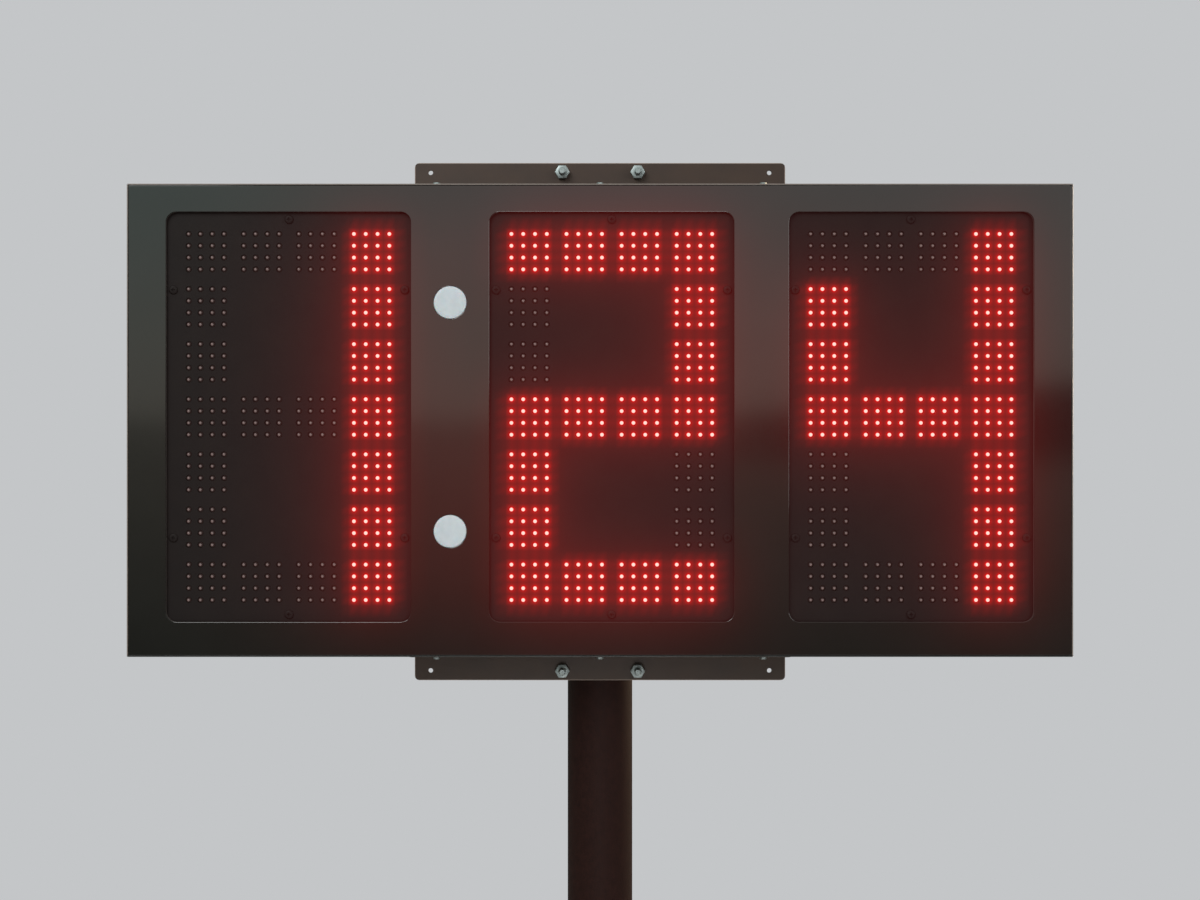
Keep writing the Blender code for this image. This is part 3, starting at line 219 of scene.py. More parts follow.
def paint_edge_highlight(material, colour, bands):
    """Mix a painted highlight colour into the base colour by |coordinate - middle| on each axis's band."""
    tree, shader = shader_of(material)
    place = add(tree, "SeparateXYZ", {0: add(tree, "TexCoord").outputs["Object"]})
    reach = 0.0
    for axis, band in bands:
        off = worked(tree, "SUBTRACT", place.outputs[axis], CABINET_MIDDLE[axis])
        share = ranged(tree, worked(tree, "ABSOLUTE", off), band)
        reach = worked(tree, "MAXIMUM", share, reach)
    coat = shader.inputs["Base Color"].links[0].from_socket
    tree.links.new(mixed(tree, reach, coat, colour), shader.inputs["Base Color"])
    return material


stand_coat = even_finish("textured_bronze_powder_coat", "#170A08", "#25130F", 9, 2.2, (0.5, 0.7), 0.2,
                         speck=0.6, Specular_IOR_Level=0.08)
CABINET_PAINT = ("#1B1B1A", "#222221", 60, 1.2, (0.22, 0.32), 0.01)
back_coat = even_finish("cabinet_powder_coat", *CABINET_PAINT)
# The pale lips of these rails are a painted highlight.
rail_coat = paint_edge_highlight(even_finish("powder_coat_with_painted_edge_highlight", *CABINET_PAINT), "#6B625C", [(1, RAIL_LIP_BAND)])
bracket_paint = even_finish("brown_powder_coat", "#2F221B", "#39291F", 40, 1.6, (0.45, 0.6), 0.03,
                            Specular_IOR_Level=0.35)
# The pale ends and edges of the angles are a painted highlight.
bracket_coat = paint_edge_highlight(bracket_paint, "#8A7A70", [(0, ANGLE_END_BAND), (2, ANGLE_EDGE_BAND)])
print("painted metal:", stand_coat.name, bracket_coat.name, rail_coat.name)

# %% [markdown]
# ## Plated and bare metal
# Nuts, bolts and clamps are zinc plated and passivated: a slightly blue, satin metal. The struts are
# bare extruded aluminium, whose grain is stretched.

# %% Plated and bare metal
zinc = even_finish("passivated_zinc_plate", "#858D8D", "#A3ABAB", 6, 0.7, (0.5, 0.66), 0.02, Metallic=1.0)
bare_aluminium = even_finish("drawn_aluminium", "#A9ABAB", "#C6C8C9", 30, 0.8, (0.3, 0.42), 0.01,
                             stretch=(0.1, 1, 1), Metallic=1.0)
weld_bead = even_finish("painted_weld_bead", "#170A07", "#28140F", 9, 2.2, (0.4, 0.6), 0.3,
                        Specular_IOR_Level=0.3)

# %% [markdown]
# ## Plastic and rubber
# Gland, switch and electronics are moulded plastics with a fine spark-eroded grain. The gaskets and the
# drain plugs are rubber, which is the dullest black on the clock.

# %% Plastic and rubber
black_plastic = even_finish("moulded_black_plastic", "#121314", "#1C1D1E", 12, 0.9, (0.36, 0.5), 0.03)
rubber = even_finish("matt_rubber", "#101010", "#191918", 7, 0.8, (0.7, 0.85), 0.05)
nylon = even_finish("moulded_nylon", "#16181A", "#202326", 10, 1.0, (0.4, 0.55), 0.03)
diffuser = even_finish("opal_acrylic", "#A9B0B4", "#B3BABE", 8, 0.9, (0.32, 0.42), 0.01,
                       Subsurface_Weight=0.2, Subsurface_Scale=0.004)
print("plastics and rubber ready")

# %% [markdown]
# ## Circuit board
# The boards carry the diodes and the controller. Solder mask is a thin green lacquer over copper, so
# the tracks show as slightly lighter lines on a square grid of pads, 2.54 mm apart.

# %% Circuit board
PAD_PITCH = 2.54 * MM
TRACK_WIDTH = 0.35 * MM
TRACK_HEIGHT = 0.05 * MM


def board_finish():
    """Green lacquer with a brick pattern of tracks, the bricks one pad pitch high and six wide."""
    material, tree, shader, place = start_material("solder_masked_board")
    turned = add(tree, "Mapping", {"Vector": place, "Rotation": (math.radians(90), 0, 0)})
    tracks = add(tree, "TexBrick", {
        "Vector": turned.outputs[0], "Scale": 1.0, "Mortar Size": TRACK_WIDTH, "Color1": linear("#0E3A22"),
        "Color2": linear("#12452A"), "Mortar": linear("#1F5A36"), "Brick Width": 6 * PAD_PITCH,
        "Row Height": PAD_PITCH})
    lift = add(tree, "Bump", {"Height": tracks.outputs["Fac"], "Strength": 0.4,
                                        "Distance": TRACK_HEIGHT})
    tree.links.new(tracks.outputs["Color"], shader.inputs["Base Color"])
    tree.links.new(lift.outputs[0], shader.inputs["Normal"])
    shader.inputs["Roughness"].default_value = 0.32
    return material


circuit_board = board_finish()

# %% [markdown]
# ## Surfaces lit by the diodes
# Lit diodes throw red light on the masks, the face and the window frames around them. How much each
# point gets is kept in an attribute called glow, and the material adds that much deep red light.

# %% Finishes that carry the glow
GLOW_COLOUR = "#FF0A05"


def glowing_finish(name, *recipe, specular):
    """An even finish whose emission strength is the attribute glow."""
    material = even_finish(name, *recipe, Specular_IOR_Level=specular)
    tree, shader = shader_of(material)
    glow = add(tree, "Attribute", attribute_name="glow")
    shader.inputs["Emission Color"].default_value = linear(GLOW_COLOUR)
    tree.links.new(glow.outputs["Fac"], shader.inputs["Emission Strength"])
    return material


face_coat = glowing_finish("semi_gloss_powder_coat", "#121211", "#161615", 90, 1.4, (0.06, 0.09), 0.0015,
                           specular=0.82)
mask_coat = glowing_finish("matt_black_mask", "#0E0A09", "#130E0C", 35, 0.9, (0.6, 0.75), 0.03, specular=0.16)

# %% [markdown]
# ## Diode lenses
# A diode is a 5 mm epoxy lens over a chip. Lit, its middle is so bright that it looks pinkish white,
# and only its rim shows deep red. Unlit, it shows a small grey dot at its tip, which is a painted
# highlight: emitted light standing for the gleam of the dome, tinged by the red light around it.
# An attribute called rim runs from 0 at the tip to 1 at the foot of each lens.


# %% Diode lenses
CORE_STOP = 0.5
RIM_STOP = 0.78
EPOXY_GRAIN_MM = 3
EPOXY = {"Roughness": 0.2, "Specular_IOR_Level": 0.2, "IOR": 1.54}


def lens_finish(name, core, rim, strength, body, red_share):
    """Emission = core to rim colour by the attribute rim, plus a share of the red light around the lens."""
    material, tree, shader, place = start_material(name)
    across = add(tree, "Attribute", attribute_name="rim").outputs["Fac"]
    fine = noise(tree, place, EPOXY_GRAIN_MM)
    level = add(tree, "Mix", {"Factor": 0.03, "A": across, "B": fine}).outputs[0]
    own = add(tree, "ValToRGB", {"Fac": level}, stops=((CORE_STOP, core), (RIM_STOP, rim)))
    caught = add(tree, "Attribute", attribute_name="glow").outputs["Fac"]
    share = worked(tree, "MULTIPLY", caught, red_share)
    glow = mixed(tree, share, own.outputs[0], GLOW_COLOUR, blend_type="ADD")
    tree.links.new(mixed(tree, fine, *body), shader.inputs["Base Color"])
    tree.links.new(glow, shader.inputs["Emission Color"])
    set_constants(shader, dict(EPOXY, Emission_Strength=strength))
    return material


lit_lens = lens_finish("lit_red_diode", "#FFE2D6", "#C41210", 1.0, ("#7A1512", "#8C1A16"), 0.0)
# The unlit lens emits its grey tip dot, a painted highlight, though it is no lamp.
unlit_lens = lens_finish("unlit_diode_with_painted_highlight", "#8A7571", "#241C1A", 0.65, ("#1C1413", "#221817"), 1.3)

# %% [markdown]
# ## Which part gets which finish
# The CAD record gives every part a slot, and a slot has one finish, so a piece that stands for a CAD part
# can look its finish up here. The hidden parts inside the cabinet keep their CAD shape and only get
# the finish of their slot.

# %% Finishes of the slots
FINISH_OF = {
    "stand_coat": stand_coat, "cabinet_coat": back_coat, "bracket_coat": bracket_coat, "mask_coat": mask_coat,
    "zinc": zinc, "bare_aluminium": bare_aluminium, "lit_led": lit_lens, "unlit_led": unlit_lens,
    "diffuser": diffuser, "circuit_board": circuit_board, "black_plastic": black_plastic, "rubber": rubber,
    "nylon": nylon,
}
for node, part in NODES.items():
    for material_slot in part.material_slots:
        material_slot.material = FINISH_OF[SLOT_OF[node]]
print("finished CAD parts:", len(NODES))

# %% [markdown]
# ## Tools for shapes
# Every new piece below is a set of rings or grids of points, worked out as whole numpy arrays. One
# function turns points and faces into a mesh, smooths the faces that meet at a shallow angle, gives it
# the finish of its slot, sets it on the body it rides on and hides the CAD nodes it stands for.


# %% Mesh helpers
SHARP_DEGREES = 35


def mesh_of(name, points, faces):
    """A mesh from points (n, 3) and a list of face arrays."""
    mesh = bpy.data.meshes.new(name)
    listed = [face for group in faces for face in np.asarray(group).tolist()]
    mesh.from_pydata(np.asarray(points).reshape(-1, 3).tolist(), [], listed)
    return mesh


def register(name, mesh, nodes=(), material=None, slot=None, body=None, sharp=SHARP_DEGREES):
    """Link the mesh as an object with the finish of its slot, attach it to its body and hide the CAD nodes it
    stands for.
    Body, slot and finish are those of the first node, unless they are given. Faces that meet at more than
    the sharp angle, in degrees, keep a hard edge."""
    slot = slot or SLOT_OF[nodes[0]]
    body = body or BODY_OF[nodes[0]]
    mesh.materials.clear()
    mesh.materials.append(material or FINISH_OF[slot])
    mesh.shade_smooth()
    mesh.set_sharp_from_angle(angle=math.radians(sharp))
    piece = in_scene(name, mesh)
    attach(piece, body)
    if nodes:
        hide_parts(*nodes)
    print(f"{name}: {len(mesh.polygons)} faces on {body}")
    return piece


def make_piece(name, points, faces, nodes=(), attributes=None, **kept):
    """Build a mesh with its faces outwards and its attributes, one value for each point, and register it."""
    mesh = mesh_of(name, points, faces)
    shape = bmesh.new()
    shape.from_mesh(mesh)
    bmesh.ops.recalc_face_normals(shape, faces=shape.faces)
    shape.to_mesh(mesh)
    shape.free()
    for label, values in (attributes or {}).items():
        mesh.attributes.new(label, "FLOAT", "POINT").data.foreach_set("value", np.asarray(values, np.float32))
    return register(name, mesh, nodes, **kept)


# %% [markdown]
# ### Rings
# A turned part is a profile spun about an axis, and a sheet's hole or outline is a rounded rectangle
# carried through the sheet. Both are stacks of closed rings, joined by quads.


# %% Ring helpers
def rounded_ring(width, height, corner, steps=4, lines=((), ())):
    """A closed ring (n, 2): in each quarter, the corner's centre plus an arc of its radius, then points on
    the straight side where the lines cross it. On a full circle neither arcs nor side points may share a
    place, so there the arcs are one step shorter at their ends."""
    circle = min(width, height) <= 2 * corner + 1e-9
    parts = []
    for quarter, signs in enumerate(((1, 1), (-1, 1), (-1, -1), (1, -1))):
        places = np.asarray(lines[quarter % 2])
        spare = circle * len(places)
        share = (np.arange(steps + 1) + spare) / (steps + circle + spare)
        angle = (quarter + np.append(share, 1)) * math.pi / 2
        centre = np.array(signs) * (np.array([width, height]) / 2 - corner)
        arc = centre + corner * np.stack([np.cos(angle), np.sin(angle)], -1)
        side = np.repeat(arc[-1:], len(places), axis=0)
        side[:, quarter % 2] = places[::-1] if quarter < 2 else places
        parts += [arc[:-1], side]
    return np.concatenate(parts)


def stack_faces(rings, count, start=0):
    """Quads between rings of count points each, numbered one ring after another from start."""
    ring, point = np.meshgrid(np.arange(rings - 1), np.arange(count), indexing="ij")
    after = (point + 1) % count
    return np.stack([ring * count + point, ring * count + after, (ring + 1) * count + after,
                     (ring + 1) * count + point], -1).reshape(-1, 4) + start


def turns(sides):
    """Angles once round, without the last, which is the first again."""
    return np.arange(sides) * 2 * math.pi / sides


def around(rows, sides):
    """Rings from rows of (radius, along), each a number or one value for each side: the point at angle t
    is (radius cos t, radius sin t, along)."""
    angle = turns(sides)
    zero = np.zeros(sides)
    return np.stack([np.stack([radius * np.cos(angle), radius * np.sin(angle), along + zero], -1)
                     for radius, along in rows])


def closed_stack(rings):
    """Faces of a stack (rings, sides, 3) with both ends closed by one polygon each, facing outwards."""
    count, sides = rings.shape[:2]
    return [stack_faces(count, sides), [np.arange(sides)[::-1]], [(count - 1) * sides + np.arange(sides)]]


def copied(piece, places):
    """A closed stack set at every place (n, 2): points = piece + place, faces = its faces + a count each."""
    points = piece[None] + np.insert(places, 1, 0, axis=1)[:, None, None]
    shift = np.arange(len(places))[:, None, None] * piece.shape[0] * piece.shape[1]
    faces = [(np.asarray(group)[None] + shift).reshape(-1, np.shape(group)[-1])
             for group in closed_stack(piece)]
    return points, faces


def ring_loop(rings):
    """Faces of a stack (rings, sides, 3) whose last ring joins its first, so that an opening runs through."""
    count, sides = rings.shape[:2]
    return [stack_faces(count + 1, sides) % (count * sides)]


def to_back(points, place):
    """Turn points whose axis is +Z so that the axis looks to the back, +Y, and set them at a place."""
    return points[..., [0, 2, 1]] + np.asarray(place)


def to_front(points, place):
    """Turn points whose axis is +Z so that the axis looks to the front, -Y, and set them at a place."""
    return np.stack([points[..., 0], -points[..., 2], points[..., 1]], -1) + np.asarray(place)


def middle_of(node):
    """The middle of a CAD node's box as (x, y, z)."""
    low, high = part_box(node)
    return np.array((low + high) / 2)


# %% [markdown]
# ### Copies of CAD pieces with softened edges
# Folded, cut and machined pieces already have the right shape in the CAD frame. What a viewer misses is
# the small radius that paint and tools leave on every edge, because that is where light catches. So a
# copy is merged into clean faces and a Bevel modifier rounds its edges.


# %% Softened copies
def softened(node, radius_mm, material=None, segments=2):
    """Copy a CAD node's mesh, merge its triangles into flat faces and round the edges that are left."""
    shape = bmesh.new()
    shape.from_mesh(NODES[node].data)
    bmesh.ops.remove_doubles(shape, verts=shape.verts, dist=1e-6)
    bmesh.ops.dissolve_limit(shape, angle_limit=math.radians(0.5), verts=shape.verts, edges=shape.edges)
    mesh = bpy.data.meshes.new(node)
    shape.to_mesh(mesh)
    shape.free()
    piece = register(node + "_finished", mesh, [node], material)
    bevel = piece.modifiers.new("softened_edge", "BEVEL")
    bevel.width = radius_mm * MM
    bevel.segments = segments
    bevel.limit_method = "ANGLE"
    bevel.angle_limit = math.radians(SHARP_DEGREES)
    bevel.use_clamp_overlap = True
    bevel.harden_normals = True
    return piece


# %% [markdown]
# ## Where the diodes are
# Each digit has four columns and seven rows of clusters, and a cluster is four by four diodes. A
# numeral lights whole clusters. The rows below are drawn as text so that the numerals can be read.

# %% Diode places
DIGIT_PLACES = {"left": -0.4014, "middle": 0.0152, "right": 0.4014}
DIGIT_HEIGHT = 1.5543
DIODE_PITCH = 0.01524
CLUSTER_PITCH = 0.07112
PRESENT = ("####", "#..#", "#..#", "####", "#..#", "#..#", "####")
LIT = {
    "left": ("...#",) * 7,
    "middle": ("####", "...#", "...#", "####", "#...", "#...", "####"),
    "right": ("...#", "#..#", "#..#", "####", "...#", "...#", "...#"),
}


def cluster_flags(rows):
    """Rows of text to a (4, 7) array of True and False, counted from the left and from the bottom."""
    return np.array([[mark == "#" for mark in row] for row in rows[::-1]]).T


def diode_places(flags, centre_x):
    """Centres (n, 2) of the diodes of every flagged cluster: cluster centre plus four by four pitches."""
    column, row = np.nonzero(flags)
    cluster = np.stack([(column - 1.5), (row - 3.0)], -1) * CLUSTER_PITCH + (centre_x, DIGIT_HEIGHT)
    step = (np.arange(4) - 1.5) * DIODE_PITCH
    inner = np.stack(np.meshgrid(step, step, indexing="ij"), -1).reshape(-1, 2)
    return (cluster[:, None] + inner[None]).reshape(-1, 2)


LIT_PLACES = {digit: diode_places(cluster_flags(LIT[digit]), x) for digit, x in DIGIT_PLACES.items()}
UNLIT_PLACES = {
    digit: diode_places(cluster_flags(PRESENT) & ~cluster_flags(LIT[digit]), x)
    for digit, x in DIGIT_PLACES.items()
}
ALL_LIT = np.concatenate(list(LIT_PLACES.values()))
print("lit diodes:", len(ALL_LIT), "unlit:", sum(map(len, UNLIT_PLACES.values())))

# %% [markdown]
# ### The glow
# The light that one diode adds at a distance d is exp(-d / 80 mm) / (d + 1 mm), and close to its rim a
# second, steep term exp(-(d - 3 mm) / 2.5 mm). The sum over all lit diodes gives a bright ring round each
# lens, a band inside the lit clusters and a soft haze of some centimetres around them.

# %% Glow
GLOW_REACH_MM = 80.0
GLOW_CORE_MM = 1.0
GLOW_SHARE = 0.137
RIM_START_MM = 3.0
RIM_REACH_MM = 2.5
RIM_SHARE = 0.47


def glow_at(points):
    """Sum over lit diodes of the haze and the rim term, with d in millimetres, for points (n, 3)."""
    flat = np.asarray(points).reshape(-1, 3)[:, [0, 2]]
    gap = np.linalg.norm(flat[:, None] - ALL_LIT[None], axis=-1) / MM
    haze = GLOW_SHARE * np.exp(-gap / GLOW_REACH_MM) / (gap + GLOW_CORE_MM)
    rim = RIM_SHARE * np.exp(-np.maximum(gap - RIM_START_MM, 0) / RIM_REACH_MM)
    return (haze + rim).sum(1)


# %% [markdown]
# ## Sheets with holes
# The masks and the face are flat sheets with many holes. A grid of lines cuts the sheet into cells, and
# a hole takes a block of cells. Between the block's square border and the hole's round edge lie four
# flat polygons, or a row of quads where grid lines end at the block, so every edge is shared and the
# sheet is one closed shape.


# %% Perforated sheet
ROUND_SHARE = 0.29


def rolled_rim(edge, thickness):
    """Rows of (widening, depth): a small quarter round at the front and at the back."""
    half_way = ROUND_SHARE * edge
    return ((edge, 0), (half_way, half_way), (0, edge), (0, thickness - edge),
            (half_way, thickness - half_way), (edge, thickness))


def chamfered_rim(edge, thickness):
    """Rows of (widening, depth): one chamfer at the front, then straight through."""
    return ((edge, 0), (0, edge), (0, thickness))


def rim_rings(centre, size, rim, steps, front, lines, sign=1):
    """One rounded ring for each row of the rim, as points (rows, count, 3)."""
    width, height, corner = size
    inner = [places - middle for places, middle in zip(lines, centre)]
    rows = []
    for widening, depth in rim:
        extra = sign * widening
        flat = centre + rounded_ring(width + 2 * extra, height + 2 * extra, corner + extra, steps, inner)
        rows.append(np.insert(flat, 1, front + depth, axis=1))
    return np.array(rows)


def block_border(number, block):
    """Numbers of the grid points round a block as four sides, from its upper right corner onwards."""
    x0, x1, z0, z1 = block
    return [number[x0:x1 + 1, z1][::-1], number[x0, z0:z1 + 1][::-1], number[x0:x1 + 1, z0],
            number[x1, z0:z1 + 1]]


def collar(sides, first, steps):
    """Flat polygons between a block's border and its ring, which is numbered from first. A side with points
    of its own between the corners gets a row of quads between two corner polygons."""
    count = sum(steps + len(points) - 1 for points in sides)
    middle = (steps + 1) // 2
    lead = steps - middle + 1
    start, faces = 0, []
    for points in sides:
        inner = len(points) - 2
        ring = first + (start + middle + np.arange(steps + 2 + inner)) % count
        start += steps + 1 + inner
        if not inner:
            faces.append([np.concatenate([points, ring[::-1]])])
            continue
        near = ring[lead:lead + inner]
        faces.append(np.stack([points[1:-2], points[2:-1], near[1:], near[:-1]], -1))
        faces.append([np.concatenate([points[:2], ring[:lead + 1][::-1]])])
        faces.append([np.concatenate([points[-2:], ring[lead + inner - 1:][::-1]])])
    return faces


OUTLINE_ARC = 4
SHEET_SHARP_DEGREES = 15


def sheet_piece(name, lines_x, lines_z, holes, outline, front, thickness, node, material):
    """A closed sheet in the X-Z plane with a hole in each block of cells (x0, x1, z0, z1).
    holes lists (blocks, (width, height, corner), rim, steps), and outline is (size, rim). Both are centred
    on their blocks."""
    cells = np.ones((len(lines_x) - 1, len(lines_z) - 1), bool)
    grid = np.stack(np.meshgrid(lines_x, lines_z, indexing="ij"), -1).reshape(-1, 2)
    number = np.arange(len(grid)).reshape(len(lines_x), len(lines_z))
    points = [np.insert(grid, 1, front, axis=1), np.insert(grid, 1, front + thickness, axis=1)]
    faces, total = [], 2 * len(grid)

    def fit(block, size, rim, steps, sign=1):
        nonlocal total
        x0, x1, z0, z1 = block
        centre = np.array([lines_x[x0] + lines_x[x1], lines_z[z0] + lines_z[z1]]) / 2
        inner = lines_x[x0 + 1:x1], lines_z[z0 + 1:z1]
        rings = rim_rings(centre, size, rim, steps, front, inner, sign)
        rows, count = rings.shape[:2]
        faces.extend(collar(block_border(number, block), total, steps))
        faces.extend(collar(block_border(number + len(grid), block), total + (rows - 1) * count, steps))
        faces.append(stack_faces(rows, count, total))
        points.append(rings.reshape(-1, 3))
        total += rows * count

    for blocks, size, rim, steps in holes:
        for x0, x1, z0, z1 in blocks:
            cells[x0:x1, z0:z1] = False
            fit((x0, x1, z0, z1), size, rim, steps)
    fit((0, len(lines_x) - 1, 0, len(lines_z) - 1), *outline, OUTLINE_ARC, -1)

    i, j = np.nonzero(cells)
    quad = np.stack([number[i, j], number[i + 1, j], number[i + 1, j + 1], number[i, j + 1]], -1)
    faces += [quad, quad + len(grid)]
    cloud = np.concatenate(points)
    glow = glow_at(cloud) * (cloud[:, 1] < front + thickness / 2)
    return make_piece(name, cloud, faces, [node], {"glow": glow}, material=material,
                      sharp=SHEET_SHARP_DEGREES)


# %% [markdown]
# ## Masks
# Behind each window a matt black mask hides the board and lets only the lenses through. Each lens has
# its own hole of 7.4 mm with a small chamfer, and one more ring of points round it carries the steep part
# of the glow. The clusters that no numeral uses have no holes.

# %% Masks
HOLE_WIDTH = 7.4 * MM
HOLE_CHAMFER = 0.35 * MM
HOLE_COLLAR = 1.9 * MM
MASK_FRONT = -0.14535
MASK_THICKNESS = 2 * MM
MASK_CORNER = 13.2 * MM
MASK_EDGE = 0.4 * MM
MASK_BORDER = 5 * MM
MASK_GROWTH = 0.6 * MM
HOLE_ARC = 2
CELLS = np.arange(-4, 5) * DIODE_PITCH / 2


def mask_piece(digit, centre_x):
    """Lines at every diode cell's sides and middle, and one hole for each diode."""
    low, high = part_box(digit + "_mask")
    width, height = high.x - low.x + 2 * MASK_GROWTH, high.z - low.z + 2 * MASK_GROWTH
    border = np.array([-0.5, 0.5])[:, None] * (width, height) + np.array([[MASK_BORDER], [-MASK_BORDER]])
    lines_x = (((np.arange(4) - 1.5) * CLUSTER_PITCH)[:, None] + CELLS).ravel()
    lines_z = (((np.arange(7) - 3) * CLUSTER_PITCH)[:, None] + CELLS).ravel()
    lines_x = np.concatenate([border[:1, 0], lines_x, border[1:, 0]]) + centre_x
    lines_z = np.concatenate([border[:1, 1], lines_z, border[1:, 1]]) + DIGIT_HEIGHT
    column, row = np.nonzero(cluster_flags(PRESENT))
    across, up = (part.ravel() for part in np.meshgrid(np.arange(4), np.arange(4), indexing="ij"))
    x0 = (column[:, None] * len(CELLS) + 2 * across).ravel() + 1
    z0 = (row[:, None] * len(CELLS) + 2 * up).ravel() + 1
    blocks = np.stack([x0, x0 + 2, z0, z0 + 2], -1)
    hole = (HOLE_WIDTH, HOLE_WIDTH, HOLE_WIDTH / 2)
    hole_rim = ((HOLE_COLLAR, 0), *chamfered_rim(HOLE_CHAMFER, MASK_THICKNESS))
    outline = ((width, height, MASK_CORNER), rolled_rim(MASK_EDGE, MASK_THICKNESS))
    return sheet_piece(digit + "_mask_sheet", lines_x, lines_z, [(blocks, hole, hole_rim, HOLE_ARC)], outline,
                       MASK_FRONT, MASK_THICKNESS, digit + "_mask", mask_coat)


for digit, place in DIGIT_PLACES.items():
    mask_piece(digit, place)

# %% [markdown]
# ## Diodes
# A lens is a short cylinder with a round tip, spun from five points of profile. All that are lit in a
# digit share one mesh, and so do all that aren't, so each has only a few dozen faces.

# %% Diodes
LENS_BASE = -0.13735
LENS_TIP_MM = 9.8
LENS_SIDES = 12
LENS_PROFILE_MM = np.array([(3.5, 0.0), (3.5, LENS_TIP_MM - 2.9), (2.8, LENS_TIP_MM - 1.6),
                            (2.0, LENS_TIP_MM - 0.6), (1.0, LENS_TIP_MM)])
LIT_RIM = (1.0, 1.0, 0.85, 0.5, 0.0)
# UNLIT_RIM puts the painted highlight of an unlit lens at its tip.
UNLIT_RIM = (1.0, 1.0, 1.0, 1.0, 0.3)


def diodes(name, places, rim_values, nodes):
    """One spun lens copied to every place, with the glow around the place on all of its points."""
    lens = to_front(around(LENS_PROFILE_MM * MM, LENS_SIDES), (0, LENS_BASE, 0))
    points, faces = copied(lens, places)
    rim = np.tile(np.repeat(rim_values, LENS_SIDES), len(places))
    glow = np.repeat(glow_at(np.insert(places, 1, LENS_BASE, axis=1)), points[0].size // 3)
    return make_piece(name, points, faces, nodes, {"rim": rim, "glow": glow})


for digit in DIGIT_PLACES:
    for state, places, rim_values in (("lit", LIT_PLACES, LIT_RIM), ("unlit", UNLIT_PLACES, UNLIT_RIM)):
        solids = [node for node in NODES if node.startswith(f"{digit}_{state}_leds")]
        diodes(f"{digit}_{state}_lenses", places[digit], rim_values, solids)

# %% [markdown]
# ## Mask screws
# Six pan-head screws, painted with the mask, hold each mask. The cross recess is a ring of as many
# points as the head has, in the outline of a plus sign, and sunk.

# %% Mask screws
SCREW_PLACES = np.array([(-149.3, -156), (-149.3, 164), (149.3, -156), (149.3, 164), (0, -255),
                         (0, 255)]) * MM
SCREW_PROFILE_MM = np.array([(5.8, 0.0), (5.8, 0.5), (5.5, 1.1), (4.9, 1.7), (3.9, 2.1), (3.3, 2.2)])
RECESS_HALF_WIDTH_MM = 0.55
RECESS_REACH_MM = 2.5
RECESS_DEPTH_MM = 1.3
RECESS_FLOOR_SHARE = 0.8
SCREW_SIDES = 32


def plus_ring(reach, half):
    """A plus sign as 32 points: sixteen corners and middles, each followed by the point half way on."""
    quarter = np.array([(reach, 0), (reach, half), (half, half), (half, reach)])
    turned = [np.array([(c, -s), (s, c)]) for c, s in ((1, 0), (0, 1), (-1, 0), (0, -1))]
    corners = np.concatenate([quarter @ turn.T for turn in turned])
    return np.stack([corners, (corners + np.roll(corners, -1, 0)) / 2], 1).reshape(-1, 2)


def screws(name, places, level, turned, slot, size=1.0):
    """Head rings, then the plus ring at the top and again at the bottom of the recess, copied to places."""
    head = around(SCREW_PROFILE_MM, SCREW_SIDES)
    top = SCREW_PROFILE_MM[-1, 1]
    recess = [np.insert(plus_ring(RECESS_REACH_MM * share, RECESS_HALF_WIDTH_MM * share), 2, height, axis=1)
              for share, height in ((1.0, top), (RECESS_FLOOR_SHARE, top - RECESS_DEPTH_MM))]
    screw = turned(np.concatenate([head, recess]) * size * MM, (0, level, 0))
    points, faces = copied(screw, places)
    return make_piece(name, points, faces, (), {"glow": glow_at(points)}, slot=slot, body="clock_head")


for digit, place in DIGIT_PLACES.items():
    screws(digit + "_mask_screws", SCREW_PLACES + (place, DIGIT_HEIGHT), MASK_FRONT, to_front, "mask_coat")

# %% [markdown]
# ## Face sheet
# The face is one sheet of aluminium, cut for three windows and two colon lenses. Cut edges are broken
# and then painted, so each opening has a small round edge that shows as a fine line of light.

# %% Face sheet
WINDOW_SIZE = (0.316, 0.529, 0.014)
WINDOW_ARC = 10
WINDOW_CELL = 2 * MM
COLON_X = -0.1931
COLON_RISE = 0.1474
COLON_HOLE = 0.0215
COLON_ARC = 11
COLON_CELL = 0.0237
FACE_EDGE = 0.3 * MM
FACE_CORNER = 1.2 * MM
WINDOW_LINES = 17
GAP_LINES = np.array([-24, -12, 0, 12, 24]) * MM
EDGE_LINES = np.array([2, 10, 20, 30]) * MM
END_LINES = 5
BETWEEN_LINES = 10


